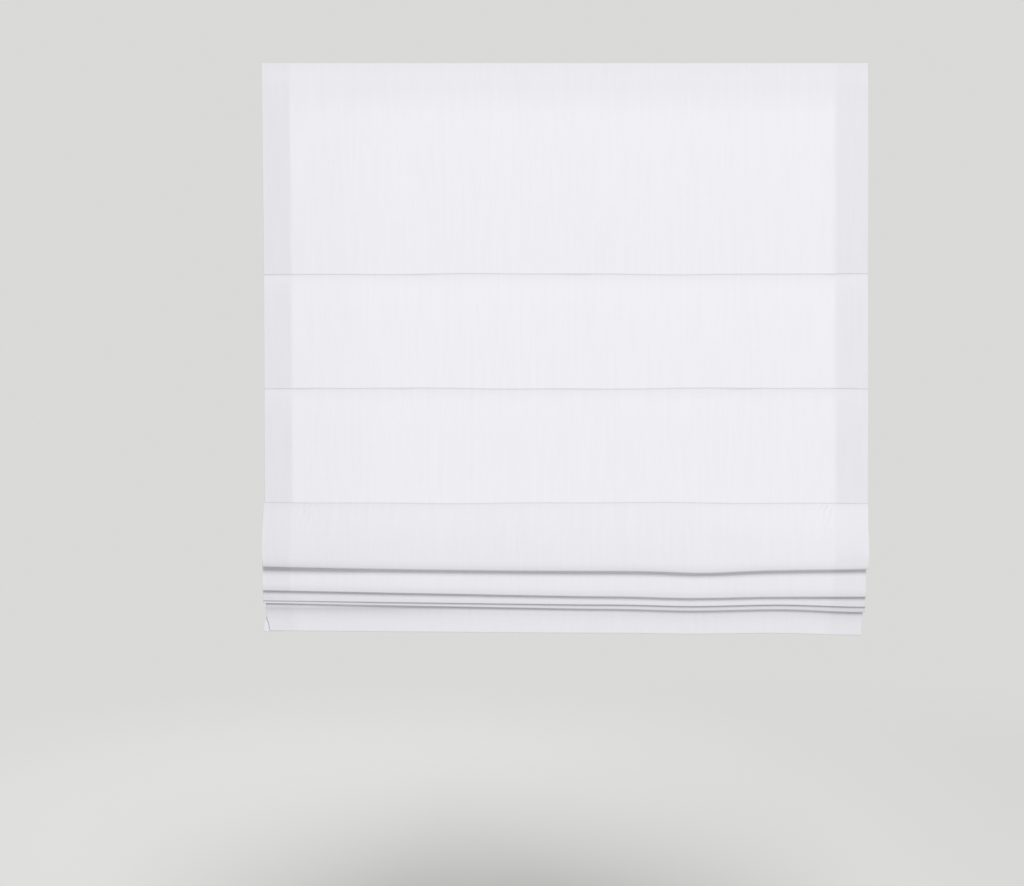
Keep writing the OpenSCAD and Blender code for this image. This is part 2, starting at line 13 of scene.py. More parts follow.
import bpy
import numpy as np
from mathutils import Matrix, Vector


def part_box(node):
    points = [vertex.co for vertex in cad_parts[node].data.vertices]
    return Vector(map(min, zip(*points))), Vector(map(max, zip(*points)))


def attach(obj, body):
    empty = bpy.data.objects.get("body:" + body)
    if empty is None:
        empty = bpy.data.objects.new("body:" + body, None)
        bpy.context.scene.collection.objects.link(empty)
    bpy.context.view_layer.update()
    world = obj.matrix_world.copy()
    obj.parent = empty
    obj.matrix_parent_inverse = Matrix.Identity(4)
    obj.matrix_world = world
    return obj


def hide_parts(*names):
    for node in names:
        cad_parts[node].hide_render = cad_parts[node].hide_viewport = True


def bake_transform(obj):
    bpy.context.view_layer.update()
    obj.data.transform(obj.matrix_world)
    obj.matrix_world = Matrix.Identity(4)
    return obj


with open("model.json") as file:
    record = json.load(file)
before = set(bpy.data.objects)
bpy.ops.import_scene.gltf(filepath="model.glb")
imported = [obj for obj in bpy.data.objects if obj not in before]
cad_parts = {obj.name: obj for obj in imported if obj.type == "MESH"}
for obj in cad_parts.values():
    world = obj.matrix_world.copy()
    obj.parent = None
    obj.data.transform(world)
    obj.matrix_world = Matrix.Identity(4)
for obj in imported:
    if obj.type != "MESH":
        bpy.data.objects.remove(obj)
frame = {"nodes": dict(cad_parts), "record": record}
nodes = frame["nodes"]
scene = bpy.context.scene
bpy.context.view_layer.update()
MM = 0.001

# %% [markdown]
# ## Measures taken from the model
# The cloth has to meet the ribs, the headrail and the weight bar exactly, so its driving heights and
# depths are read from those solids. Typed numbers would do for one model; these follow when a size in the
# model changes. Every rib pocket's top edge is a seam of the cloth.

# %% Read the seams, the depths and the ends of the cloth
CLOTH_T = 0.8 * MM
RIBS, HANGING = 7, 3
panel_low, panel_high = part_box("cloth_panel")
pocket_low, pocket_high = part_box("rib_pocket_1")
bar_low, bar_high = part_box("bar_cap_left")
HALF_W, TOP_Z = panel_high.x, panel_high.z
RAIL_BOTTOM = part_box("headrail")[0].z
SEAMS = np.array([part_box(f"rib_pocket_{k}")[1].z for k in range(1, RIBS + 1)])
THIRD, LAST = SEAMS[HANGING - 1], SEAMS[-1]
PITCH = SEAMS[0] - SEAMS[1]
HEAD_Y = panel_low.y + CLOTH_T / 2
SEAM_Y = pocket_low.y - CLOTH_T / 2
FOLD_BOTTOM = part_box("cloth_front_fold")[0].z + CLOTH_T / 2
HEM_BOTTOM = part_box("cloth_gathered")[0].z + CLOTH_T / 2
HEM_DEPTH = 2 * ((bar_low.y + bar_high.y) / 2 - SEAM_Y)
print("seams", SEAMS.round(4), "half width", HALF_W, "hem depth", round(HEM_DEPTH, 4))

# %% [markdown]
# ## The camera
# The photograph looks straight at the blind from a little left of its middle, at the height of the
# lower panels. A level camera with no shift and a normal lens gives that view. A constraint could aim it,
# but a level camera needs only its place and its lens.

# %% Place the camera
CAMERA_AT = (-0.106, -2.709, -0.754)
LENS_MM, SENSOR_MM = 47.65, 36.0
camera_data = bpy.data.cameras.new("camera")
camera_data.lens = LENS_MM
camera_data.sensor_width = SENSOR_MM
camera = bpy.data.objects.new("camera", camera_data)
camera.location = CAMERA_AT
camera.rotation_euler = (math.pi / 2, 0, 0)
scene.collection.objects.link(camera)
scene.camera = camera
print("camera", CAMERA_AT, "lens", LENS_MM)

# %% [markdown]
# ## From arrays to meshes
# Cloth and cord could be modelled by hand in edit mode. As arrays of points with rows and columns they are
# exact and quick to change. Neighbouring points make one quad, so the faces can be worked out for the whole
# array at once. The cloth also keeps a UV map in metres, so that its weave follows it round every fold.

# %% Helpers for the faces of a grid and of a tube
def grid_faces(rows, cols, wrap=False):
    """Quads between neighbouring points of a rows by cols grid; wrap joins the last column to the first."""
    index = np.arange(rows * cols).reshape(rows, cols)
    if wrap:
        index = np.hstack([index, index[:, :1]])
    corners = [index[:-1, :-1], index[1:, :-1], index[1:, 1:], index[:-1, 1:]]
    return np.stack(corners, -1).reshape(-1, 4)


def tube_faces(rings, sides):
    """Outward quads of a closed tube: its wall, and at each end a row of quads across the ring."""
    wall = grid_faces(rings, sides, wrap=True)[:, ::-1]
    first = np.arange(sides // 2 - 1)
    end = np.stack([first, first + 1, sides - 2 - first, sides - 1 - first], -1)
    return np.concatenate([wall, end[:, ::-1], end + (rings - 1) * sides])


print("quads of a 3 by 4 grid", len(grid_faces(3, 4)), "and of a 3 by 4 tube", len(tube_faces(3, 4)))

# %% Helper that turns points and faces into an object, and prints its size
def mesh_object(name, points, faces, uv=None, **attributes):
    """Object from points (n, 3), quads (m, 4), a UV per point if given, and point attributes."""
    points = points.reshape(-1, 3)
    mesh = bpy.data.meshes.new(name)
    mesh.from_pydata(points, [], faces)
    mesh.polygons.foreach_set("use_smooth", np.ones(len(faces), bool))
    if uv is not None:
        layer = mesh.uv_layers.new(name="sheet")
        layer.data.foreach_set("uv", uv.reshape(-1, 2)[faces.ravel()].astype(np.float32).ravel())
    for key, values in attributes.items():
        field = mesh.attributes.new(key, "FLOAT", "POINT")
        field.data.foreach_set("value", values.astype(np.float32).ravel())
    mesh.update()
    piece = bpy.data.objects.new(name, mesh)
    scene.collection.objects.link(piece)
    print(name, len(points), "points", len(faces), "quads")
    return piece


# %% [markdown]
# ## How the folds hang
# No real fold is level. Each gathered edge is a little higher at the left, runs nearly straight past the
# middle and ripples towards the right end. One formula with a few amplitudes describes all of them, and
# the front fold has its own: an arch with a short sag right of the middle. A cloth simulation would find
# such edges by chance; a formula puts them where the photograph has them, the same in every run.

# %% Heights of the fold edges across the width
RAMP_END, RAMP_SOFT = 0.3, 0.08
RIPPLE_CREST, RIPPLE_LENGTH = 0.42, 0.58
END_FROM = 0.7
# Level, rise to the left, ripple and drop at the right end, in mm, for each gathered fold and the hem
EDGE_SHAPES = {
    4: (0.8, 11.0, 1.3, -3.0),
    5: (0.2, 7.5, 1.5, 1.0),
    6: (1.3, 10.8, 1.4, 2.5),
    7: (1.8, 4.6, 0.8, 2.2),
}
# The same for the front fold: its level, slope and arch, and the depth of its sag
FRONT_LEVEL, FRONT_SLOPE, FRONT_ARCH, SAG_DEPTH = -0.9, 2.6, 6.3, 4.2
SAG_AT, SAG_WIDTH = 0.46, 0.14


def smooth_step(start, end, t):
    """0 before start, 1 past end, and the cubic 3s^2 - 2s^3 between; start may be the greater of the two."""
    s = np.clip((t - start) / (end - start), 0, 1)
    return s * s * (3 - 2 * s)


def edge_drops(x):
    """How far the edge of each fold hangs below its mean height at x, one row per fold, rows 0 to 7.
    A gathered fold: level - rise * ramp + ripple * cosine + end drop, with a soft ramp left of RAMP_END.
    The front fold: a parabola plus a Gaussian sag."""
    t = x / HALF_W
    ramp = RAMP_SOFT * np.logaddexp(0, (RAMP_END - t) / RAMP_SOFT)
    ripple = np.cos(2 * np.pi * (t - RIPPLE_CREST) / RIPPLE_LENGTH) * smooth_step(0.0, RIPPLE_CREST, t)
    right = smooth_step(END_FROM, 1.0, t)
    sag = SAG_DEPTH * np.exp(-((t - SAG_AT) / SAG_WIDTH) ** 2)
    drops = np.zeros((RIBS + 1, len(x)))
    drops[HANGING] = FRONT_LEVEL + FRONT_SLOPE * t - FRONT_ARCH * t * t + sag
    for fold, (level, rise, wave, end) in EDGE_SHAPES.items():
        drops[fold] = level - rise * ramp + wave * ripple + end * right
    return drops * MM


print("front fold drop, mm", (edge_drops(np.linspace(-HALF_W, HALF_W, 7))[HANGING] / MM).round(1))

# %% [markdown]
# ## Across the sheet
# The sides of the cloth are turned to the back and sewn down. The grid's columns therefore run from the
# raw edge of the left hem, round its fold, across the face and round to the raw edge of the right hem.
# Separate strips could stand for the hems, but one grid that turns round the edge has no gap there. Every
# column has a place across the width and a distance behind the face.

# %% Columns of the sheet
SIDE_HEM, HEM_STEP = 60 * MM, 0.95 * MM
MIDDLE_HALF = 490 * MM
MIDDLE_COLUMNS, SIDE_COLUMNS, HEM_COLUMNS, TURN_COLUMNS = 50, 62, 6, 5


def half_columns():
    """Columns from the middle to one side: the face, a half circle round the edge, then the hem back.
    Returns their places across the width and their distances behind the face."""
    turn_r = HEM_STEP / 2
    turn_at = HALF_W - turn_r
    side = np.linspace(MIDDLE_HALF, turn_at, SIDE_COLUMNS)
    face = np.concatenate([np.linspace(0, MIDDLE_HALF, MIDDLE_COLUMNS), side[1:]])
    angle = np.linspace(0, np.pi, TURN_COLUMNS + 2)[1:-1]
    hem = np.linspace(turn_at, HALF_W - SIDE_HEM, HEM_COLUMNS)
    x = np.concatenate([face, turn_at + turn_r * np.sin(angle), hem])
    back = np.concatenate([0 * face, turn_r * (1 - np.cos(angle)), 0 * hem + HEM_STEP])
    return x, back


half_x, half_back = half_columns()
COL_X = np.concatenate([-half_x[:0:-1], half_x])
COL_BACK = np.concatenate([half_back[:0:-1], half_back])
COL_U = np.concatenate([[0], np.cumsum(np.hypot(np.diff(COL_X), np.diff(COL_BACK)))])
COL_U -= COL_U.mean()
DROPS = edge_drops(COL_X)

# %% [markdown]
# ## Painted shade across the sheet
# White cloth lets some light through, and less where more cloth lies behind it. A translucent shader would
# need a lamp behind the blind to show that. Instead, every point of the sheet keeps a painted shade, counted
# in layers of cloth behind it, which the cloth's material turns into a darker tone in any light. It paints
# the light that the layers behind hold back, and also the shade in and under the folds. The side hems show as
# slightly darker painted bands, narrower at the left than at the right, and the left end has a little painted
# shade.

# %% Painted shade of the side hems
LEFT_BAND, RIGHT_BAND = 55 * MM, 66 * MM
LEFT_SOFT, RIGHT_SOFT = (4 * MM, 5 * MM), (7 * MM, 9 * MM)
BAND_TONE, LEFT_SHADE = 0.8, 0.2
LEFT_FADE = (330 * MM, 480 * MM)


def hem_band(x, width, soft):
    """1 over a hem of this width at the end of positive x; its edge fades over soft (inwards, outwards)."""
    inner = HALF_W - width
    return smooth_step(inner - soft[0], inner + soft[1], x)


# Painted shade: darker bands over the side hems, and a little painted shade at the left end
bands = hem_band(-COL_X, LEFT_BAND, LEFT_SOFT) + hem_band(COL_X, RIGHT_BAND, RIGHT_SOFT)
HEM_SHADE = BAND_TONE * bands + LEFT_SHADE * smooth_step(*LEFT_FADE, -COL_X)
print("tone of the hems", HEM_SHADE[0].round(2), "at the left,", HEM_SHADE[-1].round(2), "at the right")

# %% [markdown]
# ## Small waves
# Hung cloth is never quite flat. Slow waves cross the width, the sewn lines wander a little up and down,
# and short slanted puckers stand where the side hems cross the third seam. A Displace modifier could make
# such waves, but as functions they can be read by the stitches too, which have to lie on the cloth.

# %% Waves, wandering seams and puckers
# Size in mm, radians per metre across, lean and start of each sine
RIPPLES = ((0.35, 21, 3.1, 0.0), (0.25, 37, -5.3, 1.0), (0.15, 63, 8.0, 0.0))
WANDERS = ((0.9, 9, 2.1, 2.6), (0.5, 23, 1.7, 0.0))
RIPPLE_ONSET, WANDER_REACH = 120 * MM, 30 * MM
PUCKER_SIZE, PUCKER_WAVE, PUCKER_SLANT = 2.6 * MM, 12 * MM, 0.35
PUCKER_AT, PUCKER_WIDTH = 517 * MM, 15 * MM
PUCKER_ONSET, PUCKER_LENGTH = 12 * MM, 26 * MM


def sines(waves, x, t):
    """Sum of sines, in metres: size * sin(across * x + lean * t + start)."""
    return sum(size * np.sin(across * x + lean * t + start) for size, across, lean, start in waves) * MM


def face_ripple(x, z):
    """Slow waves of hung cloth, forward: sines that cross the width and lean with the height."""
    return sines(RIPPLES, x, z) * smooth_step(0, RIPPLE_ONSET, TOP_Z - z)


def seam_wander(x, z):
    """How far the sewn lines wander up and down: sines for each hanging seam, dying out away from it."""
    return sum(sines(WANDERS, x, k) * np.exp(-((z - seam) / WANDER_REACH) ** 2)
               for k, seam in enumerate(SEAMS[:HANGING]))


def puckers(x, z):
    """Slanted puckers where the side hems cross the third seam, forward: a sine that dies out below it."""
    drop = THIRD - z
    place = np.exp(-((np.abs(x) - PUCKER_AT) / PUCKER_WIDTH) ** 2)
    fade = smooth_step(0, PUCKER_ONSET, drop) * np.exp(-np.clip(drop, 0, None) / PUCKER_LENGTH)
    return PUCKER_SIZE * np.sin(2 * np.pi * (x + PUCKER_SLANT * drop) / PUCKER_WAVE) * place * fade


print("wander of the first seam, mm", (np.ptp(seam_wander(COL_X, SEAMS[0])) / MM).round(1))

# %% [markdown]
# ## Down the sheet
# A piece of cloth is then a centre line in depth and height, carried across the columns. Each row of the
# line belongs to one fold and moves with that fold's edge by a share between 0 and 1. The turned hems
# follow behind the face along the line's own normal. A bevelled curve could sweep the same line, but only
# with a level edge. A Solidify modifier then adds the thickness, half to each side.

# %% Helper that carries a centre line across the sheet
HEM_LEAST = 0.35


def drawn_in(x, side_inset):
    """Place across the width with the side edges: x + left inset * (1 - share) - right inset * share."""
    share = (x + HALF_W) / (2 * HALF_W)
    return x + side_inset[:, :1] * (1 - share) - side_inset[:, 1:] * share


def cloth_sheet(name, line, fold, share, painted_tone, side_inset, forward=0):
    """Cloth along a centre line (n, 2) of depth and height: line + share * fold edge + normal * hem step.
    The normal is the line's tangent turned towards the back. side_inset (n, 2) draws in the left and right
    edge. The painted tone (n, columns) is painted shade, counted as layers of cloth behind, where 1 is one
    more layer all over; it also stands for shade in the folds. The side hems add their painted shade to it,
    but less where much is painted already, down to the share HEM_LEAST of their tone.
    forward (n, columns) brings points to the front."""
    x = drawn_in(np.repeat(COL_X[None], len(line), 0), side_inset)
    z = line[:, 1:] - share[:, None] * DROPS[fold] + seam_wander(COL_X, line[:, 1:])
    y = line[:, :1] - face_ripple(x, z) - puckers(x, line[:, 1:]) - forward
    along_y, along_z = np.gradient(y, axis=0), np.gradient(z, axis=0)
    length = np.hypot(along_y, along_z) + 1e-12
    points = np.stack([x, y - COL_BACK * along_z / length, z + COL_BACK * along_y / length], -1)
    run = np.concatenate([[0], np.cumsum(np.hypot(*np.diff(line, axis=0).T))])
    uv = np.stack(np.broadcast_arrays(COL_U[None], run[:, None]), -1)
    # Painted shade: the given tone plus the hems' painted bands, kept on each point for the cloth's material
    layers = painted_tone + HEM_SHADE * np.clip(1 - painted_tone, HEM_LEAST, 1)
    piece = mesh_object(name, points, grid_faces(*x.shape)[:, ::-1], uv, layers_behind=layers)
    thick = piece.modifiers.new("cloth thickness", "SOLIDIFY")
    thick.thickness = CLOTH_T
    thick.offset = 0
    return piece, run[-1]


# %% [markdown]
# ## The hanging cloth
# From the headrail the cloth slopes back to the first rib. Each panel springs forward a little below its
# seam, where the rib pocket is sewn on, and comes back to the next one. The seam itself is a fine tuck.
# Below the third rib the cloth swells into the front fold and turns up behind. The piece ends on the way
# up, at one level height, where it meets the next piece exactly.

# %% Depth of each fold
# Distance between the two layers of each fold from the third rib down, and from a fold to what lies behind it
LAYER_GAPS = {3: 7.5 * MM, 4: 4.8 * MM, 5: 2.0 * MM, 6: 4.0 * MM}
STAND_OFF = 1.3 * MM
# A fold rounds under like a drop, as high as its half gap and the tightest bend at its tip allow
TIP_R = 1.35 * MM
ROUND_HEIGHTS = {rib: (gap / 2) ** 2 / TIP_R for rib, gap in LAYER_GAPS.items()}


def depth_behind(first, rib):
    """How far before the ribs the layer of fold first stands at a rib's height: the folds between, added."""
    return sum(LAYER_GAPS[k] + STAND_OFF for k in range(first, rib))


FOLD_Y = SEAM_Y - depth_behind(HANGING, RIBS)
BACK_Y = FOLD_Y + LAYER_GAPS[HANGING]
FOLD_CENTRE = FOLD_BOTTOM + ROUND_HEIGHTS[HANGING]
print("front fold at depth", round(FOLD_Y / MM, 1), "mm")

# %% Depth of the hanging face
BELLY, BELLY_RISE, BULGE = 2.5 * MM, 8, 1.75
LAP_DEPTH, LAP_EDGE, LAP_RETURN = 0.75 * MM, 0.7 * MM, 20 * MM


def down_the_fold(z):
    """Share of the way from the third seam down to the centre of the front fold's round."""
    return np.clip((THIRD - z) / (THIRD - FOLD_CENTRE), 0, 1)


def hanging_depth(z):
    """Depth of the face at height z: a slope from the headrail, bellied panels, then the swelling front fold.
    A panel's belly is (1 - exp(-rise * u)) * (1 - u) with u from 0 at its seam to 1 at the next.
    The front fold swells by bulge * v - (bulge - 1) * v^3 with v from 0 at the third seam to 1 at its bottom.
    At a seam the cloth above laps over: below it, depth * exp(-drop / return)."""
    slope = np.interp(-z, [-RAIL_BOTTOM, -SEAMS[0]], [HEAD_Y, SEAM_Y])
    u = np.clip((SEAMS[0] - z) / PITCH, 0, None)
    inside = u - np.floor(np.clip(u, 0, HANGING - 1))
    belly = BELLY * (1 - np.exp(-BELLY_RISE * inside)) * np.clip(1 - inside, 0, 1)
    lean = down_the_fold(z)
    swell = (SEAM_Y - FOLD_Y) * (BULGE * lean - (BULGE - 1) * lean ** 3)
    drop = SEAMS[:HANGING, None] - z
    laps = smooth_step(-LAP_EDGE, LAP_EDGE, drop) * np.exp(-np.clip(drop, 0, None) / LAP_RETURN)
    return slope - np.where(z > THIRD, belly, 0) - swell + LAP_DEPTH * laps.sum(0)


print("middle of the second panel, mm", (hanging_depth(np.array([SEAMS[0] - PITCH / 2])) / MM).round(1))

# %% Round of a fold
SQUARENESS = 6.0


def half_round(front, back, centre, height, steps):
    """Points of the lower half of a squared ellipse under a fold, from its front layer to its back layer:
    |depth / half gap|^n + |height / half height|^n = 1 with n = SQUARENESS."""
    angle = np.linspace(np.pi, 2 * np.pi, steps)
    half = (back - front) / 2
    parts = np.cos(angle), np.sin(angle)
    swing, drop = (np.sign(part) * np.abs(part) ** (2 / SQUARENESS) for part in parts)
    return np.stack([front + half + half * swing, centre + height * drop], -1)


FRONT_UNDER_ROWS = 25
under = half_round(FOLD_Y, BACK_Y, FOLD_CENTRE, ROUND_HEIGHTS[HANGING], FRONT_UNDER_ROWS)[1:]
print("bottom of the front fold", under[:, 1].min().round(4))

# %% Centre line of the hanging cloth
ROW_STEP, SEAM_CLEAR = 9 * MM, 2 * MM
SEAM_ROWS = np.array([0, 0.4, 0.8, 1.2, 1.7, 2.3, 3.1, 4.2, 5.6, 7.4, 9.6, 12.2, 15.4]) * MM
HEAD_ROWS = np.array([0.5, 1.2]) * MM
RISE_SHARES = np.array([0.6, 0.25, 0.0])
SPLIT_Z = FOLD_CENTRE + 14 * MM
even = np.linspace(TOP_Z, FOLD_CENTRE, int((TOP_Z - FOLD_CENTRE) / ROW_STEP))
near = (SEAMS[:HANGING, None] + np.concatenate([-SEAM_ROWS, SEAM_ROWS[1:]])).ravel()
clear = np.abs(even[:, None] - SEAMS[:HANGING]).min(1) > SEAM_ROWS[-1] + SEAM_CLEAR
hang_z = np.sort(np.concatenate([even[clear], near, TOP_Z - HEAD_ROWS]))[::-1]
hang_line = np.stack([hanging_depth(hang_z), hang_z], -1)
rise_z = np.linspace(FOLD_CENTRE, SPLIT_Z, len(RISE_SHARES) + 1)[1:]
rise = np.stack([0 * rise_z + BACK_Y, rise_z], -1)
face_line = np.concatenate([hang_line, under, rise])
lobe = down_the_fold(hang_z)
face_share = np.concatenate([smooth_step(0, 1, lobe), np.ones(len(under)), RISE_SHARES])
print("rows of the hanging cloth", len(face_line))

# %% [markdown]
# ## Painted shade of the hanging cloth
# The painted shade is deeper at the head, in front of the headrail, and just below a seam, in front of the
# rib pocket. The front fold has its own back layer behind it. Its painted shade is deepest under the third
# seam, fades on the way down, is a little deeper at the left than at the right, and deepens again where the
# cloth rounds under. Inside, the fold is painted in shade.

# %% Painted shade of the hanging cloth
INNER_SHADE = 3.0
BOTTOM_SHADE, SHADE_HEIGHT, SHADE_END = 1.4, 18 * MM, 2 * MM
HEAD_TONE, HEAD_SHADE = 0.85, 105 * MM
POCKET_TONE, POCKET_SHADE = 1.2, 14 * MM
LOBE_TONE, LOBE_FALL, LOBE_SIDE_SHADE = 1.3, 1.15, 0.2
SEAM_TONE, SEAM_SHADE = 0.5, 0.07


def fold_shade(z, bottom):
    """Painted shade of the rows that round under at the bottom of a fold, growing over SHADE_HEIGHT."""
    return BOTTOM_SHADE * smooth_step(bottom + SHADE_HEIGHT, bottom + SHADE_END, z)


head = HEAD_TONE * np.clip(1 - (TOP_Z - hang_z) / HEAD_SHADE, 0, 1)
drop = SEAMS[:HANGING - 1, None] - hang_z
pockets = POCKET_TONE * np.where(drop > 0, np.exp(-np.clip(drop, 0, None) / POCKET_SHADE), 0).sum(0)
lobe_tone = LOBE_TONE + SEAM_TONE * np.exp(-lobe / SEAM_SHADE) - LOBE_FALL * lobe ** 3
hang_tone = np.where(lobe > 0, lobe_tone + fold_shade(hang_z, FOLD_BOTTOM), head + pockets)
tip_tone = LOBE_TONE - LOBE_FALL + fold_shade(under[:, 1], FOLD_BOTTOM)
under_tone = np.maximum(tip_tone, np.linspace(0, INNER_SHADE, len(under)))
row_tone = np.concatenate([hang_tone, under_tone, np.full(len(rise), INNER_SHADE)])
in_fold = np.concatenate([lobe > 0, np.ones(len(under) + len(rise), bool)])
# Painted shade: the front fold is a little darker at the left than at the right
face_tone = row_tone[:, None] - LOBE_SIDE_SHADE * COL_X / HALF_W * in_fold[:, None]
print("tone of the front fold at its seam and its bottom", lobe_tone[lobe > 0][[0, -1]].round(2))

# %% [markdown]
# ## Side edges of the hanging cloth
# The sides aren't plumb. The left side hangs a little askew, the right side bows out, and both round in at
# the bottom of the front fold.

# %% Draw in the side edges and make the hanging cloth
# Insets in mm at the head, then added on the way down, on the front fold and added at its bottom. On the
# right side the front fold's inset is added too
LEFT_HEAD, LEFT_SKEW, LEFT_FOLD, LEFT_LOW = -2.0, 4.0, -0.6, 2.0
RIGHT_HEAD, RIGHT_BOW, RIGHT_FOLD, RIGHT_LOW = 1.0, -4.2, 3.6, 1.5
BOW_POWER, FOLD_REACH = 4, 0.5
FRONT_START, LOW_START = 3 * MM, 14 * MM
hung = np.clip((TOP_Z - hang_z) / (TOP_Z - THIRD), 0, 1)
front = smooth_step(0, FRONT_START, THIRD - hang_z)
low = smooth_step(FOLD_CENTRE + LOW_START, FOLD_CENTRE, hang_z)
left_side = (LEFT_HEAD + LEFT_SKEW * hung) * (1 - front) + (LEFT_FOLD + LEFT_LOW * low) * front
right_side = RIGHT_HEAD + RIGHT_BOW * (1 - (1 - hung) ** BOW_POWER)
right_side += RIGHT_FOLD * smooth_step(0, FOLD_REACH, lobe) + RIGHT_LOW * low
hang_inset = np.stack([left_side, right_side], -1) * MM
fold_inset = hang_inset[-1:]
face_inset = np.concatenate([hang_inset, np.repeat(fold_inset, len(under) + len(rise), 0)])
face_cloth, face_run = cloth_sheet("face_cloth", face_line, HANGING, face_share, face_tone, face_inset)
print("hanging cloth", round(face_run, 3), "m along the sheet")

# %% [markdown]
# ## The back of the front fold
# Behind the front fold the cloth climbs to the first gathered rib and turns over its seam. It fans back on
# the way, because fewer folds lie behind it the higher it gets. It is a piece of its own. On the real blind
# it moves more with the stack the higher it gets, while the front of the fold does so further down.

# %% Back layer of the front fold
CLIMB_ROWS, TURN_ROWS = 14, 5


def turn_over(rib, start, stop):
    """Arc over the seam of a gathered rib, in degrees: 180 is the layer in front, 0 the layer behind."""
    angle = np.radians(np.linspace(start, stop, TURN_ROWS))
    radius = STAND_OFF / 2
    return np.stack([SEAM_Y - radius + radius * np.cos(angle), SEAMS[rib - 1] + radius * np.sin(angle)], -1)


def layer(rib, heights, offset):
    """Layer of cloth at these heights, straight between the seams, in front of the folds behind it."""
    depths = [depth_behind(rib, k) for k in range(rib, RIBS + 1)]
    return np.stack([SEAM_Y - offset - np.interp(-heights, -SEAMS[rib - 1:], depths), heights], -1)


climb = np.linspace(SPLIT_Z, SEAMS[HANGING], CLIMB_ROWS)
back_line = np.concatenate([layer(HANGING + 1, climb, STAND_OFF), turn_over(HANGING + 1, 180, 90)[1:]])
back_share = np.zeros(len(back_line))
# Painted shade: the back layer lies inside the fold and takes the inner painted shade all over
back_tone = np.full((len(back_line), 1), INNER_SHADE)
back_inset = np.repeat(fold_inset, len(back_line), 0)
fold_back, back_run = cloth_sheet("fold_back", back_line, 0, back_share, back_tone, back_inset)
print("back layer", round(back_run, 3), "m along the sheet")

# %% [markdown]
# ## The gathered cloth
# Three more folds hang close behind each other, each between two ribs that lie nearly touching. Below the
# last rib hangs the skirt, and its hem is turned up round the weight bar. All of it is one sheet, so it is
# one centre line again. Simulated folds would slip off their ribs; here each holds one rib spacing of cloth.

# %% Centre line of a gathered fold
UPPER_ROWS, LAYER_ROWS, UNDER_ROWS, RETURN_ROWS = 6, 9, 19, 5


def round_length(half, height):
    """Length of half an ellipse, estimated as pi / 2 * (3 (a + b) - the root of (3a + b) (a + 3b))."""
    return np.pi / 2 * (3 * (half + height) - np.sqrt((3 * half + height) * (half + 3 * height)))


def gathered_fold(rib):
    """Turn over a rib, the layer down its front, the round under it and the layer up to the next rib.
    Returns the line, the share of each row in the edge's height, and the height of the fold's tip."""
    front = SEAM_Y - depth_behind(rib, RIBS)
    gap, height = LAYER_GAPS[rib], ROUND_HEIGHTS[rib]
    start, stop = SEAMS[rib - 1], SEAMS[rib]
    centre = (start + stop + round_length(gap / 2, height) - PITCH) / 2
    down = np.concatenate([np.linspace(start, LAST, UPPER_ROWS)[:-1], np.linspace(LAST, centre, LAYER_ROWS)])
    up = np.concatenate([np.linspace(centre, LAST, LAYER_ROWS), np.linspace(LAST, stop, RETURN_ROWS)[1:]])
    line = np.concatenate([
        turn_over(rib, 90, 0)[:-1],
        layer(rib, down, 0),
        half_round(front, front + gap, centre, height, UNDER_ROWS)[1:-1],
        layer(rib + 1, up, STAND_OFF),
        turn_over(rib + 1, 180, 90)[1:-1],
    ])
    return line, smooth_step(LAST, centre, line[:, 1]), centre - height


print("tip of the first gathered fold", gathered_fold(HANGING + 1)[2].round(4))

# %% Centre line of the skirt and the hem
HEM_POCKET, HEM_ROUND, HEM_PLAY = 32 * MM, 2.5 * MM, 0.2 * MM
HEM_TOP, HEM_CLOSE = bar_high.z + HEM_PLAY, HEM_BOTTOM + HEM_POCKET + HEM_DEPTH
HEM_CENTRE, HEM_BACK_Y = HEM_BOTTOM + HEM_ROUND, SEAM_Y + HEM_DEPTH
CLOSE_Y = SEAM_Y + 1.1 * CLOTH_T
SKIRT_ROWS, HEM_UNDER_ROWS, HEM_BACK_ROWS, CLOSE_ROWS = 22, 17, 7, 6


def skirt_and_hem():
    """Turn over the last rib, the skirt down to the hem, round the weight bar and up to the hem's seam.
    Returns the same three values as a gathered fold."""
    down = np.linspace(LAST, HEM_CENTRE, SKIRT_ROWS)
    up = np.linspace(HEM_CENTRE, HEM_TOP, HEM_BACK_ROWS)
    line = np.concatenate([
        turn_over(RIBS, 90, 0)[:-1],
        np.stack([0 * down + SEAM_Y, down], -1),
        half_round(SEAM_Y, HEM_BACK_Y, HEM_CENTRE, HEM_ROUND, HEM_UNDER_ROWS)[1:-1],
        np.stack([0 * up + HEM_BACK_Y, up], -1),
        np.linspace([HEM_BACK_Y, HEM_TOP], [CLOSE_Y, HEM_CLOSE], CLOSE_ROWS)[1:],
    ])
    return line, smooth_step(LAST, HEM_CENTRE, line[:, 1]), HEM_BOTTOM


parts = [gathered_fold(rib) for rib in range(HANGING + 1, RIBS)] + [skirt_and_hem()]
stack_line = np.concatenate([line for line, share, tip in parts])
stack_share = np.concatenate([share for line, share, tip in parts])
stack_fold = np.repeat(range(HANGING + 1, RIBS + 1), [len(line) for line, share, tip in parts])
tips = np.array([FOLD_BOTTOM] + [tip for line, share, tip in parts])
in_skirt = stack_fold == RIBS
print("rows of the gathered cloth", len(stack_line), "tips", tips.round(3))

# %% [markdown]
# ## Ends of the gathered cloth
# Gathered edges creep in towards the hem. The stack is thinner towards its left end, where the corner of
# the turned-up hem curls forward.

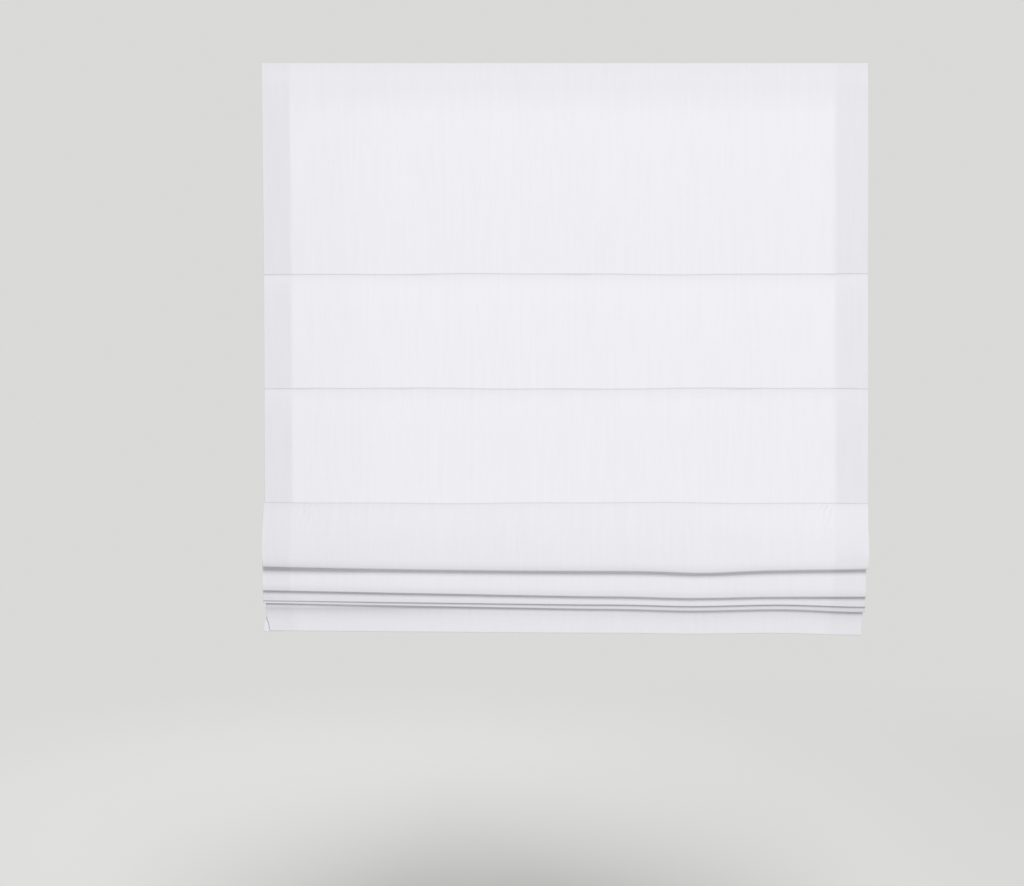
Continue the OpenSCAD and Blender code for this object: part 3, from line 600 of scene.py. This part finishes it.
# %% Side edges, the thin end and the curled corner
# Insets in mm of the first and last fold, of the skirt, how far it tucks in at the hem, and of the hem's back
LEFT_STRIPS, LEFT_SKIRT, LEFT_TUCK, LEFT_BACK = (-1.0, -0.5), 4.0, 8.0, 5.0
RIGHT_STRIPS, RIGHT_SKIRT, RIGHT_TUCK = (4.5, 4.0), 8.0, 3.0
TUCK_START, TUCK_END, BACK_SOFT = HEM_BOTTOM + 38 * MM, HEM_BOTTOM + 2 * MM, 1 * MM
LEFT_THIN, THIN_DEPTH, THIN_WIDTH = 0.3, 8.5 * MM, 300 * MM
CURL_WIDTH, CURL_CLEAR = 22 * MM, 1.5 * MM
OUTER_STRIPS = (HANGING + 1, RIBS - 1)
tuck = smooth_step(TUCK_START, TUCK_END, stack_line[:, 1])
behind = smooth_step(SEAM_Y + BACK_SOFT, HEM_BACK_Y - BACK_SOFT, stack_line[:, 0])
left_skirt = (LEFT_SKIRT + LEFT_TUCK * tuck) * (1 - behind) + LEFT_BACK * (1 - tuck) * behind
right_skirt = RIGHT_SKIRT + RIGHT_TUCK * tuck
left_edge = np.where(in_skirt, left_skirt, np.interp(stack_fold, OUTER_STRIPS, LEFT_STRIPS))
right_edge = np.where(in_skirt, right_skirt, np.interp(stack_fold, OUTER_STRIPS, RIGHT_STRIPS))
stack_inset = np.stack([left_edge, right_edge], -1) * MM
curl = np.where(in_skirt, (HEM_DEPTH - CURL_CLEAR) * tuck * behind, 0)[:, None]
curl = curl * smooth_step(HALF_W - CURL_WIDTH, HALF_W, -COL_X)
stacked = np.clip(SEAM_Y - STAND_OFF / 2 - stack_line[:, :1], 0, THIN_DEPTH)
forward = curl - LEFT_THIN * stacked * smooth_step(HALF_W - THIN_WIDTH, HALF_W, -COL_X)
curl_mm, thin_mm = (np.array([forward.max(), -forward.min()]) / MM).round(1)
print("corner curls", curl_mm, "mm, left end thins", thin_mm, "mm")

# %% [markdown]
# ## Painted shade of the gathered cloth
# Below the edge of the fold in front each strip keeps a thin lit line free of painted shade, then takes its
# own painted shade, deeper the further back it lies. The skirt comes out of a painted shadow of the folds
# above it, which is deeper at the left. What a fold covers of the next strip gets a little painted shade, and
# the inside of a fold is painted in shade.

# %% Painted shade of the gathered cloth
STRIPS = (HANGING + 1, HANGING + 2, RIBS - 1)
STRIP_TONES, STRIP_SHADES = (0.5, 1.4, 2.1), (0.7, 0.0, 0.0)
COVERED_TONE, COVERED_REACH = 0.4, 30 * MM
SKIRT_TONE, SKIRT_SHADE, SHADE_LENGTH = 0.75, 2.2, 11 * MM
LEFT_DEEPER, DEEPER_FADE = 1.6, (100 * MM, 500 * MM)
LIT_AT, LIT_WIDTH = 1 * MM, 4 * MM
OPEN_FADE = (-30 * MM, -6 * MM)
own_tip, tip_before = tips[stack_fold - HANGING], tips[stack_fold - HANGING - 1]
edge_before = tip_before[:, None] - DROPS[stack_fold - 1]
below = edge_before - (stack_line[:, 1:] - stack_share[:, None] * DROPS[stack_fold])
lit = 1 - np.exp(-((below - LIT_AT) / LIT_WIDTH) ** 2)
skirt_shade = SKIRT_SHADE * (1 + LEFT_DEEPER * smooth_step(*DEEPER_FADE, -COL_X))
# Painted shadow of the folds above on the skirt, deeper at the left
skirt_tone = SKIRT_TONE + skirt_shade * np.exp(-np.clip(below, 0, None) / SHADE_LENGTH)
strip_tone = np.interp(stack_fold, STRIPS, STRIP_TONES)[:, None] * lit
strip_tone += (np.interp(stack_fold, STRIPS, STRIP_SHADES) * fold_shade(stack_line[:, 1], own_tip))[:, None]
strip_tone += COVERED_TONE * smooth_step(0, -COVERED_REACH, below)
# Rows that climb inside a fold get the inner painted shade
strip_tone[np.gradient(stack_line[:, 1]) > 0] = INNER_SHADE
stack_tone = np.where(in_skirt[:, None], smooth_step(*OPEN_FADE, below) * lit * skirt_tone, strip_tone)
print("tone of the gathered cloth from", stack_tone.min().round(2), "to", stack_tone.max().round(2))

# %% Make the gathered cloth
gathered_cloth, stack_run = cloth_sheet(
    "gathered_cloth", stack_line, stack_fold, stack_share, stack_tone, stack_inset, forward)
print("gathered cloth", round(stack_run, 3), "m along the sheet")

# %% [markdown]
# ## The lift cords
# Three thin braided cords wind on the spools and run straight down through the rings to small anchors under
# the lowest rib. The turns belong to the spool. The straight run hangs between the headrail and the gathered
# cloth. A bevelled curve would give the same round cord; a swept grid also has the UV map that its braid
# follows.

# %% Helper that sweeps a round section along a path
def tube(name, path, radius, sides):
    """Round tube: path point + radius * (cos a * side + sin a * up), with side and up square to the path."""
    ahead = np.gradient(path, axis=0)
    ahead /= np.linalg.norm(ahead, axis=1, keepdims=True)
    side = np.cross(ahead, [1.0, 0.0, 0.0]) + 1e-9
    side /= np.linalg.norm(side, axis=1, keepdims=True)
    up = np.cross(ahead, side)
    around = np.linspace(0, 1, sides, endpoint=False)
    angle = 2 * np.pi * around[None, :, None]
    points = path[:, None] + radius * (np.cos(angle) * side[:, None] + np.sin(angle) * up[:, None])
    run = np.concatenate([[0], np.cumsum(np.linalg.norm(np.diff(path, axis=0), axis=1))])
    uv = np.stack(np.broadcast_arrays(around[None], run[:, None]), -1)
    return mesh_object(name, points, tube_faces(len(path), sides), uv)


# %% Wind and hang the cords
CORDS = (1, 2, 3)
CORD_R = 0.7 * MM
TURNS, TURN_POINTS, TURN_SIDES = 14, 20, 6
RUN_POINTS, RUN_SIDES = 40, 8
rod_low, rod_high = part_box("lift_rod")
ROD_Y, ROD_Z = (rod_low.y + rod_high.y) / 2, (rod_low.z + rod_high.z) / 2
turn = np.linspace(0, 2 * np.pi * TURNS, TURNS * TURN_POINTS + 1)
cord_pieces = []
for k in CORDS:
    cord_low, cord_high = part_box(f"lift_cord_{k}")
    cord_x, cord_y = (cord_low.x + cord_high.x) / 2, cord_high.y - CORD_R
    wind_r = cord_y - ROD_Y
    coil_x = cord_x + (cord_high.x - cord_low.x - 2 * CORD_R) * np.linspace(-0.5, 0.5, len(turn))
    coil = np.stack([coil_x, ROD_Y + wind_r * np.cos(turn), ROD_Z + wind_r * np.sin(turn)], -1)
    winding = tube(f"cord_winding_{k}", coil, CORD_R, TURN_SIDES)
    end = (cord_x, cord_y, cord_low.z)
    run = tube(f"cord_run_{k}", np.linspace((cord_x, cord_y, ROD_Z), end, RUN_POINTS), CORD_R, RUN_SIDES)
    cord_pieces.append((k, winding, run, end))
print("cord in view", round(ROD_Z - end[2], 3), "m, wound", round(turn[-1] * wind_r, 3), "m each")

# %% [markdown]
# ## Stitches
# Each rib pocket is sewn on with one row of stitches, which shows on its back and, on the hanging panels, as
# fine marks above the seam. The side hems and the bottom hem have a row on the back as well. Stitches could
# be bumps in the cloth's material, but thread that stands on the cloth throws its own shadow. A stitch is a
# small spindle, so a row is the same spindle many times.

# %% Helper for a row of stitches
STITCH, STITCH_PITCH, THREAD_R = 3.2 * MM, 4.6 * MM, 0.22 * MM
THREAD_SIDES = 4
RINGS = np.array([0, 0.2, 0.8, 1])
TAPER = np.array([0.3, 1, 1, 0.3])
ALONG, DOWN = np.array([1.0, 0, 0]), np.array([0, 0, 1.0])


def spindles(middles, ahead):
    """Spindles of thread: middle + (share - 1/2) * stitch * ahead + radius * taper * (cos a, sin a)."""
    side = np.array([0.0, 1.0, 0.0])
    up = np.cross(ahead, side)
    angle = (np.linspace(0, 2 * np.pi, THREAD_SIDES, endpoint=False) + np.pi / THREAD_SIDES)[:, None]
    across = THREAD_R * TAPER[:, None, None] * (np.cos(angle) * side + np.sin(angle) * up)
    spindle = (RINGS[:, None, None] - 0.5) * STITCH * ahead + across
    return middles[:, None, None] + spindle


def stitch_piece(name, rows):
    """One object from several rows of spindles, each row an array (n, rings, sides, 3)."""
    points = np.concatenate(rows)
    first = len(RINGS) * THREAD_SIDES * np.arange(len(points))
    faces = (tube_faces(len(RINGS), THREAD_SIDES) + first[:, None, None]).reshape(-1, 4)
    return mesh_object(name, points, faces)


ROW_X = np.arange(pocket_low.x + STITCH, pocket_high.x - STITCH, STITCH_PITCH)
print("stitches in a row", len(ROW_X))

# %% Sew the pockets
SEAM_LIFT, TAB_BACK = 1.6 * MM, 1.8 * MM
hung_rows, stack_rows = [], []
for k, seam in enumerate(SEAMS):
    back = np.stack(np.broadcast_arrays(ROW_X, pocket_low.y + TAB_BACK, seam - SEAM_LIFT), -1)
    (hung_rows if k < HANGING else stack_rows).append(spindles(back, ALONG))
for seam in SEAMS[:HANGING]:
    face_z = seam + SEAM_LIFT + seam_wander(ROW_X, seam)
    face_y = hanging_depth(np.array([seam + SEAM_LIFT])) - face_ripple(ROW_X, face_z) - CLOTH_T / 2
    hung_rows.append(spindles(np.stack([ROW_X, face_y, face_z], -1), ALONG))
print("rows on the pockets", len(hung_rows) + len(stack_rows))

# %% Sew the hems
HEM_IN, CLOSE_IN, CLOSE_ENDS = 3 * MM, 1.5 * MM, 25 * MM
side_z = np.arange(RAIL_BOTTOM, THIRD + 2 * STITCH_PITCH, -STITCH_PITCH)
side_inset = np.stack([np.interp(-side_z, -hang_z, edge) for edge in hang_inset.T], -1)
for sign in (-1, 1):
    row_x = np.full((len(side_z), 1), sign * (HALF_W - SIDE_HEM + HEM_IN))
    hem_x = drawn_in(row_x, side_inset)[:, 0]
    hem_y = hanging_depth(side_z) - face_ripple(hem_x, side_z) + HEM_STEP + CLOTH_T / 2
    hung_rows.append(spindles(np.stack([hem_x, hem_y, side_z], -1), DOWN))
close_x = ROW_X[np.abs(ROW_X) < HALF_W - CLOSE_ENDS]
close_z = HEM_CLOSE - CLOSE_IN
close_y = SEAM_Y + 1.8 * CLOTH_T - face_ripple(close_x, close_z)
close_edge = close_z - smooth_step(LAST, HEM_CENTRE, close_z) * edge_drops(close_x)[RIBS]
stack_rows.append(spindles(np.stack([close_x, close_y, close_edge], -1), ALONG))
hung_stitches = stitch_piece("hung_stitches", hung_rows)
stack_stitches = stitch_piece("stack_stitches", stack_rows)

# %% [markdown]
# ## Finishes
# A finish that reads as real has a pattern at the right size. Images could give it, but patterns worked out
# by nodes stay sharp up close and don't repeat. The effects that several materials share are node groups: a
# plain weave, slow streaks along one direction, and a fine grain. Each group only puts out values; the
# shader stays in the material.

# %% Helpers for building node trees
def add(tree, kind, inputs=None, **settings):
    """New node with these settings; inputs maps a socket's name or number to a value or to another socket."""
    node = tree.nodes.new(kind)
    for key, value in settings.items():
        setattr(node, key, value)
    for key, value in (inputs or {}).items():
        socket = node.inputs[key]
        if isinstance(value, bpy.types.NodeSocket):
            tree.links.new(value, socket)
        else:
            socket.default_value = value
    return node


def new_group(name, inputs, outputs):
    """Empty shader group with named sockets; returns the tree, its input sockets and its output sockets."""
    group = bpy.data.node_groups.new(name, "ShaderNodeTree")
    for label, kind in inputs.items():
        group.interface.new_socket(label, in_out="INPUT", socket_type=kind)
    for label in outputs:
        group.interface.new_socket(label, in_out="OUTPUT", socket_type="NodeSocketFloat")
    return group, group.nodes.new("NodeGroupInput").outputs, group.nodes.new("NodeGroupOutput").inputs


def math_node(tree, operation, *values):
    """Math node of this operation, returning its value socket."""
    return add(tree, "ShaderNodeMath", dict(enumerate(values)), operation=operation).outputs[0]


# %% Plain weave group
VECTOR, FLOAT = "NodeSocketVector", "NodeSocketFloat"
weave, given, result = new_group("plain weave", {"Vector": VECTOR, "Threads": FLOAT}, ["Height"])
split = add(weave, "ShaderNodeSeparateXYZ", {0: given["Vector"]})
turns = math_node(weave, "MULTIPLY", given["Threads"], math.pi)
warp = math_node(weave, "SINE", math_node(weave, "MULTIPLY", split.outputs[0], turns))
weft = math_node(weave, "SINE", math_node(weave, "MULTIPLY", split.outputs[1], turns))
product = math_node(weave, "MULTIPLY", warp, weft)
weave.links.new(math_node(weave, "MULTIPLY_ADD", product, 0.5, 0.5), result["Height"])
print("group", weave.name)

# %% Streak group
STREAK_ROUGH = 0.6
streak, given, result = new_group("streaks", {"Vector": VECTOR, "Scale": VECTOR, "Detail": FLOAT}, ["Tone"])
stretched = add(streak, "ShaderNodeVectorMath", {0: given["Vector"], 1: given["Scale"]}, operation="MULTIPLY")
noise = add(streak, "ShaderNodeTexNoise", {
    "Vector": stretched.outputs[0], "Scale": 1.0, "Detail": given["Detail"], "Roughness": STREAK_ROUGH})
streak.links.new(noise.outputs["Fac"], result["Tone"])
print("group", streak.name)

# %% Grain group
SLOW_SCALE, SLOW_DETAIL, FINE_DETAIL = 0.05, 2.0, 3.0
grain, given, result = new_group("grain", {"Vector": VECTOR, "Scale": FLOAT}, ["Tone", "Height"])
slow_scale = math_node(grain, "MULTIPLY", given["Scale"], SLOW_SCALE)
for label, scale, detail in (("Tone", slow_scale, SLOW_DETAIL), ("Height", given["Scale"], FINE_DETAIL)):
    noise = add(grain, "ShaderNodeTexNoise", {"Vector": given["Vector"], "Scale": scale, "Detail": detail})
    grain.links.new(noise.outputs["Fac"], result[label])
print("group", grain.name)

# %% Helpers shared by the materials
def new_material(name, roughness, metallic=0.0, specular=0.5):
    """Material with a Principled shader set to these constants; returns material, tree and shader."""
    material = bpy.data.materials.new(name)
    material.use_nodes = True
    shader = material.node_tree.nodes["Principled BSDF"]
    shader.inputs["Roughness"].default_value = roughness
    shader.inputs["Metallic"].default_value = metallic
    shader.inputs["Specular IOR Level"].default_value = specular
    return material, material.node_tree, shader


def use(tree, group, vector, **values):
    """Node of a shared group that reads this vector and these values; returns its output sockets."""
    return add(tree, "ShaderNodeGroup", {"Vector": vector, **values}, node_tree=group).outputs


def tint(tree, fac, dark, light):
    """Colour between dark and light by fac."""
    mix = add(tree, "ShaderNodeMix", {0: fac, 6: (*dark, 1), 7: (*light, 1)}, data_type="RGBA")
    return mix.outputs[2]


def bump(tree, height, distance, strength, under=None):
    """Normal from a height in metres, on top of another normal if given."""
    inputs = {"Height": height, "Distance": distance, "Strength": strength}
    if under is not None:
        inputs["Normal"] = under
    return add(tree, "ShaderNodeBump", inputs).outputs["Normal"]


def shade(colour, factor):
    """Colour times a factor."""
    return tuple(channel * factor for channel in colour)


def dress(tree, shader, colour, normal):
    """Give the shader this colour and this normal."""
    tree.links.new(colour, shader.inputs["Base Color"])
    tree.links.new(normal, shader.inputs["Normal"])


# %% [markdown]
# ## Cloth
# The cloth is a matt white linen look with a hint of lilac. Its yarn is uneven, which shows as faint long
# streaks down the sheet and fewer across. Both are noise, stretched along the UV map, so that they turn with
# the cloth. Its colour also takes the painted shade that each point keeps: darker where hems or folds lie
# behind it, standing for less light coming through two layers, and darker in and under the folds.

# %% Cloth material
CLOTH = (0.865, 0.857, 0.897)
CLOTH_ROUGH, CLOTH_SPECULAR, SHEEN, SHEEN_ROUGH = 0.92, 0.15, 0.08, 0.6
DOWN_STREAKS, ACROSS_STREAKS, DOWN_SHARE = (130, 7, 1), (9, 160, 1), 0.88
YARN_FROM, YARN_TO, YARN_CONTRAST = 0.3, 0.7, 0.014
THREADS = 2200
MOST_SHADE, DARKEST = 4.0, 0.62
cloth, tree, shader = new_material("cloth", CLOTH_ROUGH, specular=CLOTH_SPECULAR)
sheet_uv = add(tree, "ShaderNodeUVMap", uv_map="sheet").outputs[0]
down = use(tree, streak, sheet_uv, Scale=DOWN_STREAKS, Detail=3)[0]
across = use(tree, streak, sheet_uv, Scale=ACROSS_STREAKS, Detail=1)[0]
threads = use(tree, weave, sheet_uv, Threads=THREADS)[0]
yarn = math_node(tree, "MULTIPLY_ADD", down, DOWN_SHARE, math_node(tree, "MULTIPLY", across, 1 - DOWN_SHARE))
yarn_tone = add(tree, "ShaderNodeMapRange", {"Value": yarn, "From Min": YARN_FROM, "From Max": YARN_TO})
open_colour = tint(
    tree, yarn_tone.outputs[0], shade(CLOTH, 1 - YARN_CONTRAST), shade(CLOTH, 1 + YARN_CONTRAST))
# Painted shade: the point's painted shade darkens the colour towards DARKEST
layers = add(tree, "ShaderNodeAttribute", attribute_name="layers_behind").outputs["Fac"]
through = add(tree, "ShaderNodeMapRange", {
    "Value": layers, "From Max": MOST_SHADE, "To Min": 1.0, "To Max": DARKEST}).outputs[0]
colour = add(tree, "ShaderNodeVectorMath", {0: open_colour, 1: through}, operation="MULTIPLY").outputs[0]
slub_normal = bump(tree, yarn, 0.25 * MM, 0.6)
dress(tree, shader, colour, bump(tree, threads, 0.08 * MM, 0.3, slub_normal))
shader.inputs["Sheen Weight"].default_value = SHEEN
shader.inputs["Sheen Roughness"].default_value = SHEEN_ROUGH
print("material", cloth.name)

# %% [markdown]
# ## Metals, plastics, tapes and cords
# The headrail and the weight bar are anodised extrusions with drawn lines along their length. Brackets and
# rod are zinc plated, the clips and the spring are dark spring steel. The small mouldings are matt white or
# ivory with a fine texture, the ribs are glass fibre rods with long fibres, and the tapes are woven. The
# solids have no UV map, so these patterns read Object coordinates. Drawn lines run along X, like the stock.

# %% Drawn stock and mouldings
SMOOTHER, ROUGHER = 0.08, 0.1


def drawn(name, colour, roughness, scale, contrast, metallic=1.0):
    """Drawn stock with fine lines along X: streaks change its colour, its roughness and its height."""
    material, tree, shader = new_material(name, roughness, metallic)
    place = add(tree, "ShaderNodeTexCoord").outputs["Object"]
    tone = use(tree, streak, place, Scale=scale, Detail=4)[0]
    ends = {"To Min": roughness - SMOOTHER, "To Max": roughness + ROUGHER}
    rough = add(tree, "ShaderNodeMapRange", {"Value": tone, **ends}).outputs[0]
    tree.links.new(rough, shader.inputs["Roughness"])
    varied = tint(tree, tone, shade(colour, 1 - contrast), colour)
    dress(tree, shader, varied, bump(tree, tone, 0.05 * MM, 0.3))
    return material


def moulded(name, colour, roughness, scale=2500):
    """Moulded plastic: a fine pebbled height and a slow change of tone."""
    material, tree, shader = new_material(name, roughness, specular=0.4)
    place = add(tree, "ShaderNodeTexCoord").outputs["Object"]
    pebbles = use(tree, grain, place, Scale=scale)
    varied = tint(tree, pebbles["Tone"], shade(colour, 0.95), colour)
    dress(tree, shader, varied, bump(tree, pebbles["Height"], 0.08 * MM, 0.35))
    return material


finishes = {
    "cloth": cloth,
    "aluminium": drawn("anodised aluminium", (0.80, 0.81, 0.82), 0.36, (3, 900, 900), 0.12),
    "zinc_steel": drawn("zinc plate", (0.66, 0.67, 0.69), 0.3, (60, 400, 400), 0.2),
    "spring_steel": drawn("spring steel", (0.36, 0.37, 0.40), 0.28, (20, 700, 700), 0.25),
    "fibreglass": drawn("glass fibre", (0.76, 0.77, 0.72), 0.45, (6, 1500, 1500), 0.15, metallic=0.0),
    "white_plastic": moulded("white moulding", (0.80, 0.80, 0.79), 0.5),
    "ivory_plastic": moulded("ivory moulding", (0.78, 0.74, 0.63), 0.4),
}
print("finishes", sorted(finishes))

# %% Tapes and cord
FUZZ_SCALE = 1800
CORD_YARNS = (4, 700, 1)
CORD_DARK, CORD_LIGHT = (0.7, 0.7, 0.72), (0.88, 0.88, 0.89)


def woven_tape(name, colour, threads, pile):
    """Narrow woven tape in the plane of X and Z: a weave, and a rough pile on top."""
    material, tree, shader = new_material(name, 0.9, specular=0.15)
    place = add(tree, "ShaderNodeTexCoord").outputs["Object"]
    turned = add(tree, "ShaderNodeMapping", {"Vector": place, "Rotation": (math.pi / 2, 0, 0)}).outputs[0]
    cross = use(tree, weave, turned, Threads=threads)[0]
    fuzz = use(tree, grain, place, Scale=FUZZ_SCALE)["Height"]
    mixed = add(tree, "ShaderNodeMix", {0: pile, 2: cross, 3: fuzz}).outputs[0]
    dress(tree, shader, tint(tree, mixed, shade(colour, 0.88), colour), bump(tree, mixed, 0.3 * MM, 0.6))
    return material


def braided_cord():
    """White cord: two families of yarns cross on it along its UV map."""
    material, tree, shader = new_material("braided cord", 0.8, specular=0.2)
    uv = add(tree, "ShaderNodeUVMap", uv_map="sheet").outputs[0]
    yarns = add(tree, "ShaderNodeMapping", {"Vector": uv, "Scale": CORD_YARNS}).outputs[0]
    plait = use(tree, weave, yarns, Threads=1.0)[0]
    dress(tree, shader, tint(tree, plait, CORD_DARK, CORD_LIGHT), bump(tree, plait, 0.15 * MM, 0.7))
    return material


finishes["pocket_tape"] = woven_tape("pocket tape", (0.80, 0.80, 0.82), 1400, 0.25)
finishes["fastening_tape"] = woven_tape("hook and loop tape", (0.80, 0.80, 0.80), 900, 0.85)
finishes["braided_cord"] = braided_cord()
print("finishes", len(finishes))

# %% [markdown]
# ## Dress the solids and hang the cloth
# Every solid takes the finish of its slot in the record. The three cloth pieces and the cords stand for
# their plain solids. When the real blind is raised or lowered, the bottom of the front fold travels half as
# far as the rib.

# %% Give every solid its finish
for row in frame["record"]["subparts"]:
    mesh = nodes[row["node"]].data
    mesh.materials.clear()
    mesh.materials.append(finishes[row["material_slot"]])

# %% Let the cloth stand for its solids
for piece, length, held, solids in (
        (face_cloth, face_run, "hung", ["cloth_panel", "cloth_front_fold"]),
        (fold_back, back_run, "hung", ["cloth_front_fold"]),
        (gathered_cloth, stack_run, "gathered", ["cloth_gathered"])):
    piece.data.materials.append(cloth)
    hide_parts(*solids)

# The share at the split is the same on both pieces, so they stay joined
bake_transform(face_cloth)
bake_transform(fold_back)
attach(gathered_cloth, "gathered_stack")

# %% Place the stitches and the cords
for piece, body in ((hung_stitches, "headrail"), (stack_stitches, "gathered_stack")):
    piece.data.materials.append(finishes["pocket_tape"])
    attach(piece, body)
for k, winding, run, end in cord_pieces:
    for piece in (winding, run):
        piece.data.materials.append(finishes["braided_cord"])
        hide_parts(f"lift_cord_{k}")
    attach(winding, "lift_rod")
    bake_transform(run)
print("stitches and", len(cord_pieces), "cords placed")

# %% [markdown]
# ## Floor and light
# The blind hangs at its usual height over a plain pale floor, which fades into an even pale background, so
# that no edge shows from any side. An image could light it; plain white light keeps the colours as they are
# written. It comes softly from all round, with one large lamp in front and above, so that each fold throws a
# short soft shadow on the cloth below it.

# %% Floor
FLOOR_Z, FLOOR_R = -2.1, 7.0
FLOOR_RINGS, FLOOR_SIDES = 12, 64
FADE_FROM, FADE_TO = 1.5, 5.5
PALE, FLOOR_SHADE = (0.70, 0.70, 0.69), 0.9


def disc(radius, height, rings, sides):
    """Flat disc: point = radius * share * (cos a, sin a), in rings by sides."""
    share = np.linspace(0.001, 1, rings)[:, None]
    angle = np.linspace(0, 2 * np.pi, sides, endpoint=False)[None]
    x, y = radius * share * np.cos(angle), radius * share * np.sin(angle)
    return np.stack([x, y, 0 * x + height], -1)


floor_points = disc(FLOOR_R, FLOOR_Z, FLOOR_RINGS, FLOOR_SIDES)
floor = mesh_object("floor", floor_points, grid_faces(FLOOR_RINGS, FLOOR_SIDES, wrap=True))
floor_material, tree, shader = new_material("pale floor", 0.9, specular=0.1)
shader.inputs["Base Color"].default_value = (*shade(PALE, FLOOR_SHADE), 1)
place = add(tree, "ShaderNodeTexCoord").outputs["Object"]
flat = add(tree, "ShaderNodeVectorMath", {0: place, 1: (1, 1, 0)}, operation="MULTIPLY").outputs[0]
away = add(tree, "ShaderNodeVectorMath", {0: flat}, operation="LENGTH").outputs["Value"]
fade = add(tree, "ShaderNodeMapRange", {"Value": away, "From Min": FADE_FROM, "From Max": FADE_TO},
           interpolation_type="SMOOTHSTEP").outputs[0]
clear_shader = add(tree, "ShaderNodeBsdfTransparent").outputs[0]
mixed = add(tree, "ShaderNodeMixShader", {0: fade, 1: shader.outputs[0], 2: clear_shader})
tree.links.new(mixed.outputs[0], tree.nodes["Material Output"].inputs["Surface"])
floor.data.materials.append(floor_material)
print("floor at", FLOOR_Z)

# %% Background
DOME_STRENGTH = 0.4
world = bpy.data.worlds.new("studio")
scene.world = world
world.use_nodes = True
tree = world.node_tree
tree.nodes.clear()
rays = add(tree, "ShaderNodeLightPath").outputs
seen = math_node(tree, "MAXIMUM", rays["Is Camera Ray"], rays["Is Glossy Ray"])
seen = math_node(tree, "MAXIMUM", seen, rays["Is Transmission Ray"])
dome = add(tree, "ShaderNodeBackground", {"Color": (1, 1, 1, 1), "Strength": DOME_STRENGTH})
backdrop = add(tree, "ShaderNodeBackground", {"Color": (*PALE, 1), "Strength": 1.0})
surround = add(tree, "ShaderNodeMixShader", {0: seen, 1: dome.outputs[0], 2: backdrop.outputs[0]})
add(tree, "ShaderNodeOutputWorld", {"Surface": surround.outputs[0]})
scene.view_settings.view_transform = "Standard"
print("background", PALE)

# %% Lamps
# Place, size in metres and power in watts
LAMPS = {"key": ((1.2, -9.0, 9.0), 6.2, 1430.0), "fill_back": ((-1.5, 5.0, 2.5), 3.0, 180.0)}
aim_at = np.array([0.0, 0.0, (TOP_Z + HEM_BOTTOM) / 2])
for name, (at, size, power) in LAMPS.items():
    lamp_data = bpy.data.lights.new(name, "AREA")
    lamp_data.energy, lamp_data.size = power, size
    lamp = bpy.data.objects.new(name, lamp_data)
    lamp.location = at
    x, y, z = aim_at - np.array(at)
    lamp.rotation_euler = (math.atan2(math.hypot(x, y), -z), 0, math.atan2(y, x) - math.pi / 2)
    scene.collection.objects.link(lamp)
print("lamps", list(LAMPS))
